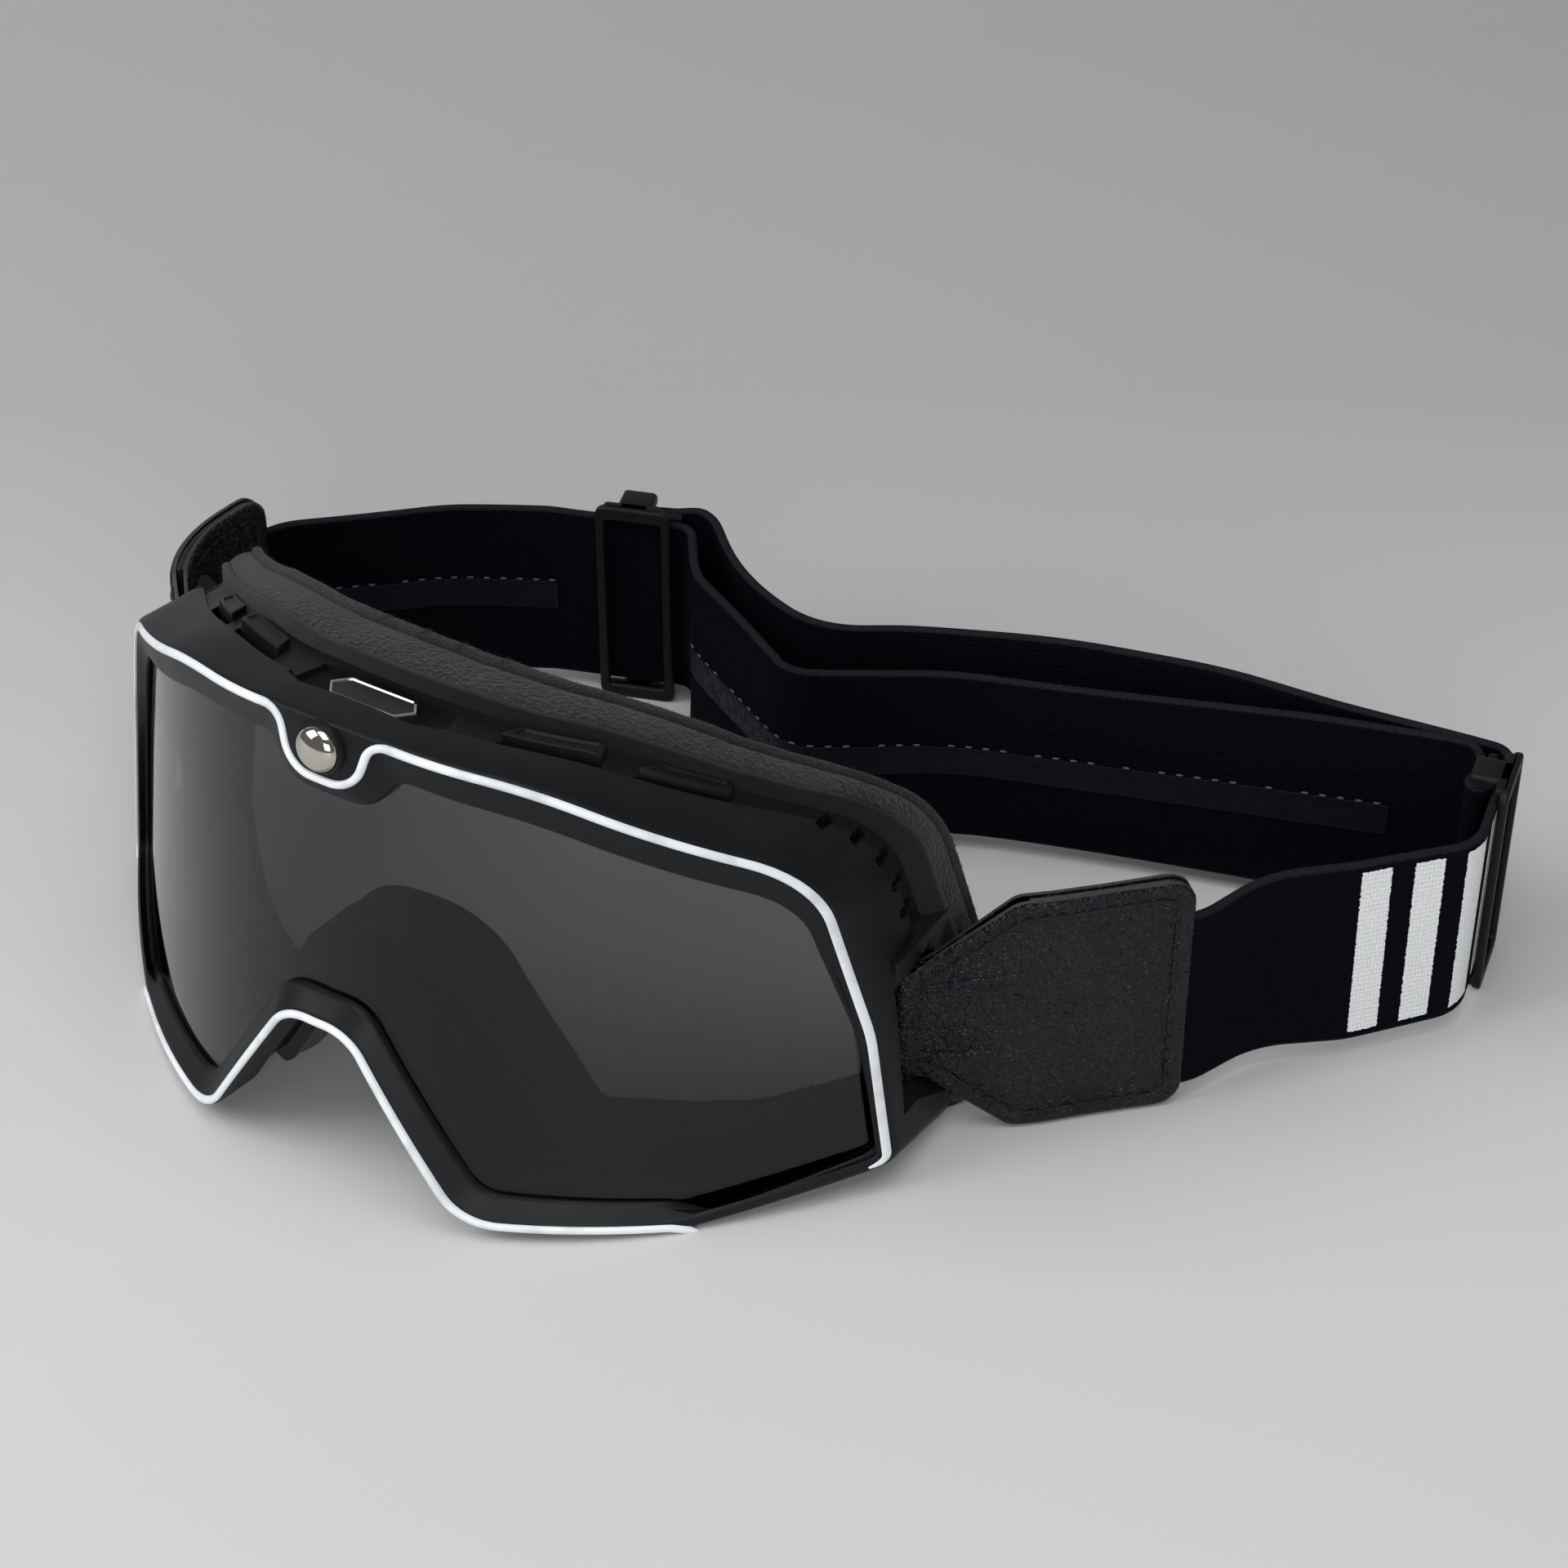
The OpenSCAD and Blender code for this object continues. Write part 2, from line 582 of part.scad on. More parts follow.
// The outline of a tab, seen square on to the line from its pivot to its rear end
module tab_shape(route, side) {
    chord = point_at(route, tab_l) - point_at(route, 0);
    translate([side * pivot_x, pivot_y, tab_mid_z]) rotate([0, 0, atan2(chord[1], chord[0])])
        through(rounded_ring(tab_outline(norm(chord))));
}
module leather(route, side, low, high) {
    intersection() {
        ribbon(route, eye_r - leather_t / 2, tab_l + 2, low, high, tab_mid_z - tab_h / 2, tab_h);
        tab_shape(route, side);
    }
}
// Room for the band between the two layers
module band_room(route) {
    ribbon(route, front_start, front_end, -band_t / 2, band_t / 2, band_z, band_w);
}
module eye(side) {
    difference() {
        translate([side * pivot_x, pivot_y, tab_mid_z - tab_nose_h / 2 + eye_trim])
            cylinder(h = tab_nose_h - 2 * eye_trim, r = eye_r, $fn = rod_fn);
        translate([side * pivot_x, pivot_y, tab_mid_z - tab_h / 2])
            cylinder(h = tab_h, r = eye_r - leather_t, $fn = rod_fn);
    }
}
// The outer layer goes round the bar and meets the inner one; side is 1 for right, -1 for left
module outer_layer(route, side) color("#1a1a1b") {
    eye(side);
    difference() {
        leather(route, side, side > 0 ? -band_t / 2 - leather_t : 0, side > 0 ? 0 : band_t / 2 + leather_t);
        band_room(route);
        translate([side * pivot_x, pivot_y, table_z])
            cylinder(h = 2 * tab_h, r = eye_r - leather_t / 2, $fn = rod_fn);
    }
}
module inner_layer(route, side) color("#1a1a1b") difference() {
    leather(route, side, side > 0 ? 0 : -band_t / 2 - leather_t, side > 0 ? band_t / 2 + leather_t : 0);
    band_room(route);
    translate([side * pivot_x, pivot_y, table_z]) cylinder(h = 2 * tab_h, r = eye_r, $fn = rod_fn);
}
module right_tab_outer() { outer_layer(right_route, 1); }
module right_tab_inner() { inner_layer(right_route, 1); }
module left_tab_outer() { outer_layer(left_route, -1); }
module left_tab_inner() { inner_layer(left_route, -1); }
module right_strap_bar() color("#8d9095") bar(1, bar_d / 2);
module left_strap_bar() color("#8d9095") bar(-1, bar_d / 2);

// ---- Sliders and sewn ends, lying along x with the band running through ----
module at_slider(at, dir) {
    translate([at[0], at[1], 0]) rotate([0, 0, atan2(dir[1], dir[0])]) children();
}
bar_off = band_t / 2 + run_gap;
slider_face = -bar_off - slider_bar_t;
slider_rear = centre_bar_off + centre_bar_r + 0.4;
outer_bar_w = 3;
slider_h = band_w + 1 + 2 * rail_h;
module slider() color("#15161a") {
    for (z = [table_z, table_z + slider_h - rail_h]) translate([0, 0, z]) linear_extrude(rail_h)
        polygon(rounded_ring([[-slider_l / 2, slider_face, 1], [slider_l / 2, slider_face, 1],
            [slider_l / 2, slider_face + slider_bar_t + 1, 1], [centre_bar_r + 2, slider_rear, 1],
            [-centre_bar_r - 2, slider_rear, 1], [-slider_l / 2, slider_face + slider_bar_t + 1, 1]]));
    for (x = [-slider_l / 2, slider_l / 2 - outer_bar_w]) translate([x, slider_face, table_z + 1])
        cube([outer_bar_w, slider_bar_t, slider_h - 2]);
    translate([0, centre_bar_off, table_z + 1]) cylinder(h = slider_h - 2, r = centre_bar_r, $fn = rod_fn);
}
// The end of a band, folded round the centre bar and sewn back on itself
end_l = 9;
end_taper = 3.2;
module band_end() color("#1b1d24") translate([0, centre_bar_off, band_z]) difference() {
    r = centre_bar_r + end_gap + band_t;
    union() {
        cylinder(h = band_w, r = r, $fn = rod_fn);
        linear_extrude(band_w) polygon([[1, -r + 0.3], [end_taper, -end_half], [end_l, -end_half],
            [end_l, end_half], [end_taper, end_half], [1, r - 0.3]]);
    }
    translate([0, 0, -1]) cylinder(h = band_w + 2, r = centre_bar_r + end_gap, $fn = rod_fn);
}
module right_slider() at_slider(right_slider_at, right_slider_dir) slider();
module left_slider() at_slider(left_slider_at, left_slider_dir) slider();
module left_band_end() at_slider(right_slider_at, right_slider_dir) band_end();
module right_band_end() at_slider(left_slider_at, left_slider_dir) band_end();

// ---- Grip strips on the faces of the bands that lie against the head ----
grip_z = band_z + (band_w - grip_w) / 2;
function reach(route, p) = let (d = [for (q = route) norm(q - p)], c = lengths(route))
    [for (i = [0:len(d) - 1]) if (d[i] == min(d)) c[i]][0];
grip_start = front_end + cut_gap + 1;
back_grip_start = reach(left_route, left_slider_turn) + 12;
back_grip_end = path_length(left_route) - 28;
module grip(route, a, b, near, far) {
    color("#2b303b") ribbon(route, a, b, near, far, grip_z, grip_w);
}
module right_grip_strip() {
    grip(right_route, grip_start, reach(right_route, right_straight) - 1, band_t / 2, band_t / 2 + grip_t);
}
module left_grip_strip() {
    grip(left_route, grip_start, reach(left_route, left_straight) - 1, -band_t / 2 - grip_t, -band_t / 2);
}
module back_grip_strip() {
    grip(left_route, back_grip_start, back_grip_end, -band_t / 2 - grip_t, -band_t / 2);
}

frame();
lens();
upper_piping();
lower_piping();
stud();
stud_seat();
stud_washer();
nameplate();
vent_foam();
foam_backing();
foam_core();
face_fleece();
left_strap_bar();
right_strap_bar();
left_tab_outer();
left_tab_inner();
right_tab_outer();
right_tab_inner();
left_band_front();
right_band_front();
left_band();
right_band();
left_band_end();
right_band_end();
left_grip_strip();
right_grip_strip();
back_grip_strip();
left_slider();
right_slider();
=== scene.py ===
"""The looks of the motorcycle goggles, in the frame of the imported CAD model.

Lengths are in millimetres until a mesh is made. The outlines and routes repeat part.scad's, apart
from the slots round the shoulders and the narrow end of each tab.
"""
import math
import random

import bmesh
import bpy
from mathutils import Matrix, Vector, noise


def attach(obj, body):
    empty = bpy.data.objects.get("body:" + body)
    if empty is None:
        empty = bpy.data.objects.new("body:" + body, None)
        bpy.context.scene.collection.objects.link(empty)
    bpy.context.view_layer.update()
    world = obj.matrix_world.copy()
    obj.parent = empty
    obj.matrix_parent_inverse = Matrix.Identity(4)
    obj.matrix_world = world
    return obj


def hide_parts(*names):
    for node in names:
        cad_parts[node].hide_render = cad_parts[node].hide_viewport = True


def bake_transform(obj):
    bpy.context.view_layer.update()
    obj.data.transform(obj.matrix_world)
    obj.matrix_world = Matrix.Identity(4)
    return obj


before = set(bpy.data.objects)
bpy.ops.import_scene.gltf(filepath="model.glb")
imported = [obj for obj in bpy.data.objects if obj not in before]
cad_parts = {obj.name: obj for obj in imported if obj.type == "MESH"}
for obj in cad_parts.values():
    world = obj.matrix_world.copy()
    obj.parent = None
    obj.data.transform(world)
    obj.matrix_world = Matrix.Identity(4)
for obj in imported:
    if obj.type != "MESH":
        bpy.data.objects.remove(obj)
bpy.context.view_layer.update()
MM = 0.001

# ---- Driving dimensions, as in part.scad ----
FRONT_W, BROW_RISE, CHEEK_DROP = 181.0, 50.8, 49.4
ARCH_H, NOSE_TOP_W, NOSE_FOOT_W = 35.2, 12.8, 57.2
WRAP_D, DEPTH_MID, DEPTH_SIDE = 59.0, 21.5, 28.0
WALL, REAR_STEP, FLANGE_W, FLANGE_T, RIM_D = 2.8, 1.6, 9.0, 2.2, 8.0
LEAN, BRIDGE_H = math.radians(9), 39.0
LENS_T, LENS_RECESS, LENS_GRIP = 1.4, 4.2, 1.5
PIPING_W, STUD_D, SHANK_D = 1.5, 8.6, 3.2
PLATE_L, PLATE_W = 19.0, 7.2
FOAM_BASE, FOAM_CORE, FLEECE, FOAM_OUT, FOAM_W = 1.5, 10.5, 3.5, 1.4, 12.0
FOAM_SIDE = 0.5
BAND_W, BAND_T, LEATHER_T = 42.0, 1.6, 1.3
TAB_L, TAB_H, TAB_NOSE_H, BAR_D, RUN_GAP = 54.0, 54.0, 26.0, 3.0, 0.3
SLIDER_L, SLIDER_BAR_T, RAIL_H = 16.5, 1.8, 3.0
GRIP_W, GRIP_T = 7.0, 0.5

HALF_W = FRONT_W / 2
TABLE_Z = -BRIDGE_H
BRIDGE_Y = DEPTH_MID + FOAM_BASE + FOAM_CORE + FLEECE
BRIDGE_Z = -CHEEK_DROP + ARCH_H + FOAM_W * 0.55
BAND_Z = TABLE_Z + RAIL_H + 0.5 + BAND_W / 2
TAB_Z = TABLE_Z + 0.4 + TAB_H / 2
PIVOT_X, PIVOT_Y = HALF_W - 7.6, 31.0


# ---- Plane geometry ----
def unit(v):
    """The plane vector v at length one."""
    n = math.hypot(*v)
    return (v[0] / n, v[1] / n)


def turned(v, a):
    return (v[0] * math.cos(a) - v[1] * math.sin(a), v[0] * math.sin(a) + v[1] * math.cos(a))


def turn(u, v):
    return math.atan2(u[0] * v[1] - u[1] * v[0], u[0] * v[0] + u[1] * v[1])


def corner(p, q, s, r, steps):
    """steps + 1 points of the arc of radius r that rounds corner q between p and s."""
    u, w = unit((q[0] - p[0], q[1] - p[1])), unit((s[0] - q[0], s[1] - q[1]))
    t = turn(u, w)
    if abs(t) < 1e-3:
        return [(q[0] + u[0] * 0.01 * i, q[1] + u[1] * 0.01 * i) for i in range(steps + 1)]
    side = math.copysign(1, t)
    back = r * math.tan(abs(t) / 2)
    c = (q[0] - u[0] * back - u[1] * r * side, q[1] - u[1] * back + u[0] * r * side)
    spoke = (u[1] * r * side, -u[0] * r * side)
    arc = [turned(spoke, t * i / steps) for i in range(steps + 1)]
    return [(c[0] + a[0], c[1] + a[1]) for a in arc]


def spread(a, b, runs):
    """The points strictly between a and b that cut the line into equal runs."""
    return [(a[0] + (b[0] - a[0]) * i / runs, a[1] + (b[1] - a[1]) * i / runs)
            for i in range(1, runs)]


def ring(corners, arc=8, runs=9):
    """A closed outline through [x, y, radius] corners, with as many points for as many corners."""
    n = len(corners)
    arcs = [corner(corners[i - 1][:2], corners[i][:2], corners[(i + 1) % n][:2], corners[i][2], arc)
            for i in range(n)]
    points = []
    for i in range(n):
        points += arcs[i] + spread(arcs[i][-1], arcs[(i + 1) % n][0], runs)
    return points


def path(corners, arc=10):
    """An open path through [x, y, radius] corners."""
    points = [tuple(corners[0][:2])]
    for a, b, c in zip(corners, corners[1:], corners[2:]):
        points += corner(a[:2], b[:2], c[:2], b[2], arc)
    return points + [tuple(corners[-1][:2])]


def inset(corners, d):
    """The corners of a counter-clockwise outline moved inwards by d."""
    out, n = [], len(corners)
    for i, (x, y, r) in enumerate(corners):
        p, s = corners[i - 1], corners[(i + 1) % n]
        u, v = unit((x - p[0], y - p[1])), unit((s[0] - x, s[1] - y))
        a, b = (-u[1], u[0]), (-v[1], v[0])
        k = d / (1 + a[0] * b[0] + a[1] * b[1])
        r = max(0.4, r - d * math.copysign(1, turn(u, v)))
        out.append([x + (a[0] + b[0]) * k, y + (a[1] + b[1]) * k, r])
    return out


def mirrored(half):
    """A half outline from nose to brow, and its mirror image back to the nose."""
    return half + [[-x, y, r] for x, y, r in reversed(half)]


def resampled(points, step):
    """The same path at even steps, as (point, distance from its start)."""
    total = [0.0]
    for a, b in zip(points, points[1:]):
        total.append(total[-1] + math.dist(a, b))
    count = max(2, round(total[-1] / step))
    out, k = [], 0
    for i in range(count + 1):
        s = total[-1] * i / count
        while k < len(total) - 2 and total[k + 1] < s:
            k += 1
        t = (s - total[k]) / max(1e-9, total[k + 1] - total[k])
        out.append((points[k][0] + (points[k + 1][0] - points[k][0]) * t,
                    points[k][1] + (points[k + 1][1] - points[k][1]) * t))
    return out


def lefts(points):
    """The unit normal to the left of an open path at each of its points."""
    out = []
    for i in range(len(points)):
        a, b = points[max(0, i - 1)], points[min(len(points) - 1, i + 1)]
        u = unit((b[0] - a[0], b[1] - a[1]))
        out.append((-u[1], u[0]))
    return out


# ---- Wrapped surfaces and outlines of the frame ----
def front_y(x):
    return WRAP_D * (x / HALF_W) ** 2


def back_y(x):
    return DEPTH_MID + (WRAP_D + DEPTH_SIDE - DEPTH_MID) * (x / HALF_W) ** 2


def step_y(x):
    s = min(1, abs(x) / 65)
    return front_y(x) + (back_y(x) - front_y(x)) * (0.5 + 0.25 * s * s)


BROW_X, BROW_FALL = 38.0, 5.6
TOP_R = 150.0
TOP_SLOPE = math.atan(BROW_FALL / BROW_X)


def brow_z(x):
    """The top edge near the middle: a round of TOP_R between two slopes."""
    crown = BROW_RISE - TOP_R * (1 / math.cos(TOP_SLOPE) - 1)
    if abs(x) < TOP_R * math.sin(TOP_SLOPE):
        return crown - TOP_R + math.sqrt(TOP_R ** 2 - x * x)
    return BROW_RISE - BROW_FALL * abs(x) / BROW_X


DIP_TOP_X, DIP_X = 9.9, 6.9
STUD_Z = BROW_RISE - 6.9
DIP_Z = STUD_Z - 6.5
OUTER = mirrored([
    [NOSE_TOP_W / 2, -CHEEK_DROP + ARCH_H, 8],
    [NOSE_FOOT_W / 2, -CHEEK_DROP, 12.5],
    [HALF_W - 28.5, -CHEEK_DROP + 1.1, 20],
    [HALF_W - 20.5, -CHEEK_DROP + 4.13, 20],
    [HALF_W, -CHEEK_DROP + 11.9, 4],
    [HALF_W - 4, -8, 60],
    [HALF_W - 13, BROW_RISE - 23.3, 22],
    [BROW_X, BROW_RISE - BROW_FALL, 60],
    [DIP_TOP_X + 3, brow_z(DIP_TOP_X + 3), 20],
    [DIP_X - 3, brow_z(DIP_X - 3), 20]])
CREST = inset(OUTER, 1.2)
for side, place in ((1, 8), (-1, 11)):
    CREST[place] = [side * DIP_TOP_X, BROW_RISE - 2.9, 4]
    CREST[place + side] = [side * DIP_X, DIP_Z, 6.4]
OPENING = mirrored([
    [NOSE_TOP_W / 2 + 2.3, -CHEEK_DROP + ARCH_H + 5.9, 9],
    [NOSE_FOOT_W / 2 + 2.4, -CHEEK_DROP + 6.4, 7],
    [HALF_W - 30.5, -CHEEK_DROP + 6.4, 4],
    [HALF_W - 24.5, -CHEEK_DROP + 3.8, 3],
    [HALF_W - 3.7, -CHEEK_DROP + 14.1, 3.5],
    [HALF_W - 8.3, -8, 60],
    [HALF_W - 17.2, BROW_RISE - 30.3, 16],
    [BROW_X - 1.2, BROW_RISE - BROW_FALL - 8.8, 60],
    [DIP_TOP_X + 3.9, BROW_RISE - 10.6, 4],
    [DIP_X + 1.9, DIP_Z - 4.4, 7]])


def in_row(x, y, z):
    """A point of the upright frame, y behind the nose, in the leaning row frame, in metres."""
    y, z = y - BRIDGE_Y, z - BRIDGE_Z
    return Vector((x, y * math.cos(LEAN) + z * math.sin(LEAN),
                   -y * math.sin(LEAN) + z * math.cos(LEAN))) * MM


def at_depth(points, depth, floor=None):
    """3-D points over an outline; depth(x) is how far behind the nose, floor a lowest height."""
    out = []
    for x, z in points:
        p = in_row(x, depth(x), z)
        if floor is not None:
            p.z = max(p.z, (TABLE_Z + floor) * MM)
        out.append(p)
    return out


def behind(surface, d):
    return lambda x: surface(x) + d


# ---- Meshes ----
def new_mesh(name, points, faces):
    mesh = bpy.data.meshes.new(name)
    mesh.from_pydata([tuple(p) for p in points], [], faces)
    return mesh


def new_object(name, data):
    made = bpy.data.objects.new(name, data)
    bpy.context.collection.objects.link(made)
    return made


def face_outwards(mesh, merge=False):
    """Points every face outwards, after merging points that coincide if asked to."""
    work = bmesh.new()
    work.from_mesh(mesh)
    if merge:
        bmesh.ops.remove_doubles(work, verts=work.verts, dist=1e-6)
    bmesh.ops.recalc_face_normals(work, faces=work.faces)
    work.to_mesh(mesh)
    work.free()


def new_piece(name, solid, material, body, hides=(), sharp=40):
    """A smooth-shaded mesh piece that rides on a body and stands for some CAD nodes."""
    mesh = new_mesh(name, *solid)
    face_outwards(mesh, merge=True)
    piece = new_object(name, mesh)
    mesh.materials.append(material)
    shade(piece, sharp)
    if body:
        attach(piece, body)
    if hides:
        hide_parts(*hides)
    return piece


def shade(piece, sharp):
    piece.data.shade_smooth()
    piece.data.set_sharp_from_angle(angle=math.radians(sharp))


def lofted(rings, closed_around=True, closed_along=False):
    """Points and quads between rings of equal length."""
    n = len(rings[0])
    points = [p for r in rings for p in r]
    faces = []
    spans = len(rings) if closed_along else len(rings) - 1
    for i in range(spans):
        a, b = i * n, ((i + 1) % len(rings)) * n
        for j in range(n if closed_around else n - 1):
            k = (j + 1) % n
            faces.append((a + j, a + k, b + k, b + j))
    return points, faces


def joined(parts):
    """Several (points, faces) as one."""
    points, faces = [], []
    for p, f in parts:
        base = len(points)
        points += p
        faces += [tuple(i + base for i in face) for face in f]
    return points, faces


def capped(rings):
    """A closed tube of rings with a flat face on each end."""
    points, faces = lofted(rings)
    n = len(rings[0])
    faces.append(tuple(reversed(range(n))))
    faces.append(tuple(range(len(points) - n, len(points))))
    return points, faces


def prism(corners, low, high, place):
    """An upright prism over plane points; place turns (x, y, z) into a row point."""
    return capped([[place(x, y, z) for x, y in corners] for z in (low, high)])


def cut(piece, parts):
    """Cuts closed solids out of a piece."""
    mesh = new_mesh("cutter", *joined(parts))
    face_outwards(mesh)
    cutter = new_object("cutter", mesh)
    tool = piece.modifiers.new("cut", "BOOLEAN")
    tool.operation, tool.object, tool.solver = "DIFFERENCE", cutter, "EXACT"
    tool.use_self = True
    bpy.context.view_layer.objects.active = piece
    bpy.ops.object.modifier_apply(modifier=tool.name)
    bpy.data.objects.remove(cutter)


# ---- Materials ----
PLAIN = {"specular": "Specular IOR Level", "roughness": "Roughness", "sheen": "Sheen Weight",
         "metallic": "Metallic", "transmission": "Transmission Weight", "ior": "IOR"}


class Look:
    """A node material in the making."""

    def __init__(self, name):
        self.made = bpy.data.materials.new(name)
        self.made.use_nodes = True
        self.nodes, self.link = self.made.node_tree.nodes, self.made.node_tree.links.new
        self.inputs = self.nodes["Principled BSDF"].inputs

    def texture(self, kind, scale, coords="Object", stretch=None, **settings):
        """What a texture gives, in object or UV metres, with scale in features per millimetre."""
        source = self.nodes.new("ShaderNodeTexCoord")
        mapping = self.nodes.new("ShaderNodeMapping")
        mapping.inputs["Scale"].default_value = [1000 * k for k in (stretch or (1, 1, 1))]
        self.link(source.outputs[coords], mapping.inputs["Vector"])
        node = self.nodes.new(f"ShaderNodeTex{kind}")
        node.inputs["Scale"].default_value = scale
        for key, value in settings.items():
            if key in node.inputs:
                node.inputs[key].default_value = value
            else:
                setattr(node, key, value)
        self.link(mapping.outputs["Vector"], node.inputs["Vector"])
        return node.outputs["Distance" if kind == "Voronoi" else "Fac"]

    def ramp(self, source, low, high, a, b):
        """A colour that goes from a to b as source goes from low to high."""
        node = self.nodes.new("ShaderNodeMapRange")
        node.data_type = "FLOAT_VECTOR"
        node.inputs[7].default_value = (low,) * 3
        node.inputs[8].default_value = (high,) * 3
        node.inputs[9].default_value = a
        node.inputs[10].default_value = b
        self.link(source, node.inputs[6])
        return node.outputs[1]

    def span(self, source, low, high, a, b):
        """A value that goes from a to b as source goes from low to high."""
        node = self.nodes.new("ShaderNodeMapRange")
        for k, v in zip(("From Min", "From Max", "To Min", "To Max"), (low, high, a, b)):
            node.inputs[k].default_value = v
        self.link(source, node.inputs["Value"])
        return node.outputs["Result"]

    def bump(self, height, depth, onto=None):
        """A bump whose height 0 to 1 is depth millimetres."""
        node = self.nodes.new("ShaderNodeBump")
        node.inputs["Distance"].default_value = depth * MM
        self.link(height, node.inputs["Height"])
        if onto:
            self.link(onto, node.inputs["Normal"])
        return node.outputs["Normal"]

    def maths(self, kind, *values):
        """A Math node over numbers and outputs of other nodes."""
        node = self.nodes.new("ShaderNodeMath")
        node.operation = kind
        for place, value in enumerate(values):
            if isinstance(value, (int, float)):
                node.inputs[place].default_value = value
            else:
                self.link(value, node.inputs[place])
        return node.outputs[0]

    def plain(self, **values):
        """Sets shader inputs that are the same all over."""
        for key, value in values.items():
            self.inputs[PLAIN[key]].default_value = value

    def colour(self, source, low, high, a, b):
        self.link(self.ramp(source, low, high, a, b), self.inputs["Base Color"])

    def rough(self, source, low, high, a, b):
        self.link(self.span(source, low, high, a, b), self.inputs["Roughness"])

    def relief(self, height, depth, onto=None):
        self.link(self.bump(height, depth, onto), self.inputs["Normal"])


def rubber_material():
    """Satin moulded rubber with a very fine texture and faint handling marks."""
    look = Look("satin_rubber")
    marks = look.texture("Noise", 0.05, Detail=6)
    fine = look.texture("Noise", 6, Detail=2)
    look.colour(marks, 0.35, 0.7, (0.0044, 0.0050, 0.0062), (0.0066, 0.0074, 0.0088))
    look.rough(marks, 0.3, 0.7, 0.40, 0.50)
    look.relief(fine, 0.02)
    look.plain(specular=0.2)
    return look.made


def lens_material():
    """Tinted polycarbonate with a hard gloss."""
    look = Look("tinted_lens")
    haze = look.texture("Noise", 0.02, Detail=3)
    look.colour(haze, 0.3, 0.7, (0.186, 0.192, 0.198), (0.206, 0.212, 0.218))
    look.rough(haze, 0.3, 0.7, 0.015, 0.035)
    look.plain(transmission=1, ior=1.38)
    return look.made


def piping_material():
    """Smooth white plastic cord with slight soiling."""
    look = Look("white_piping")
    dirt = look.texture("Noise", 0.12, Detail=8)
    look.colour(dirt, 0.25, 0.5, (0.55, 0.56, 0.57), (0.83, 0.85, 0.88))
    look.rough(dirt, 0.3, 0.7, 0.45, 0.32)
    return look.made


def metal_material(name, colour, rough, brush=(1, 1, 1)):
    """Plated metal with fine brushing or polishing marks."""
    look = Look(name)
    marks = look.texture("Noise", 3, stretch=brush, Detail=4)
    look.plain(metallic=1)
    dark = tuple(c * 0.8 for c in colour)
    look.colour(marks, 0.3, 0.7, dark, colour)
    look.rough(marks, 0.3, 0.7, rough * 0.7, rough * 1.3)
    look.relief(marks, 0.004)
    return look.made


def foam_material(name, dark, light, pore, depth):
    """Open-cell foam or short pile: speckled colour and deep fine bumps."""
    look = Look(name)
    cells = look.texture("Voronoi", pore)
    specks = look.texture("Noise", pore * 0.8, Detail=5, Roughness=0.7)
    broad = look.texture("Noise", 0.09, Detail=3)
    mixed = look.maths("MULTIPLY_ADD", broad, 0.5, specks)
    look.colour(mixed, 0.5, 1.0, dark, light)
    first = look.bump(specks, depth)
    look.relief(cells, depth * 0.7, first)
    look.plain(roughness=0.95, sheen=0.15, specular=0.15)
    return look.made


def leather_material():
    """Glossy black leather: fine cells, longer creases and soft folds."""
    look = Look("black_leather")
    grain = look.texture("Voronoi", 1.1, feature="DISTANCE_TO_EDGE")
    folds = look.texture("Voronoi", 0.42, feature="DISTANCE_TO_EDGE")
    creases = look.texture("Noise", 0.3, Detail=3, Roughness=0.5, Distortion=1.6)
    patches = look.texture("Noise", 0.06, Detail=4)
    look.colour(patches, 0.35, 0.7, (0.0016, 0.0021, 0.0036), (0.0044, 0.0054, 0.0082))
    look.rough(creases, 0.35, 0.65, 0.18, 0.30)
    cells = look.span(grain, 0, 0.16, 0, 1)
    ridges = look.span(folds, 0, 0.14, 0, 1)
    first = look.bump(cells, 0.08)
    second = look.bump(ridges, 0.16, first)
    look.relief(creases, 0.7, second)
    look.plain(specular=0.26)
    return look.made


def painted_edge_material():
    """The sealed, slightly dusty cut edge of the leather."""
    look = Look("painted_edge")
    rough = look.texture("Noise", 0.8, Detail=5)
    look.colour(rough, 0.35, 0.7, (0.018, 0.018, 0.017), (0.038, 0.037, 0.034))
    look.relief(rough, 0.12)
    look.plain(roughness=0.55)
    return look.made


def knit_height(look):
    """The ribs of a knitted elastic, from UVs in metres: fine courses crossed by wales."""
    ribs = [look.texture("Wave", scale, coords="UV", wave_type="BANDS", bands_direction=across,
                         Distortion=warp, Detail=2, **{"Detail Scale": 2.0})
            for scale, across, warp in ((0.42, "X", 0.6), (0.3, "Y", 0.8))]
    return look.maths("MULTIPLY", *ribs)


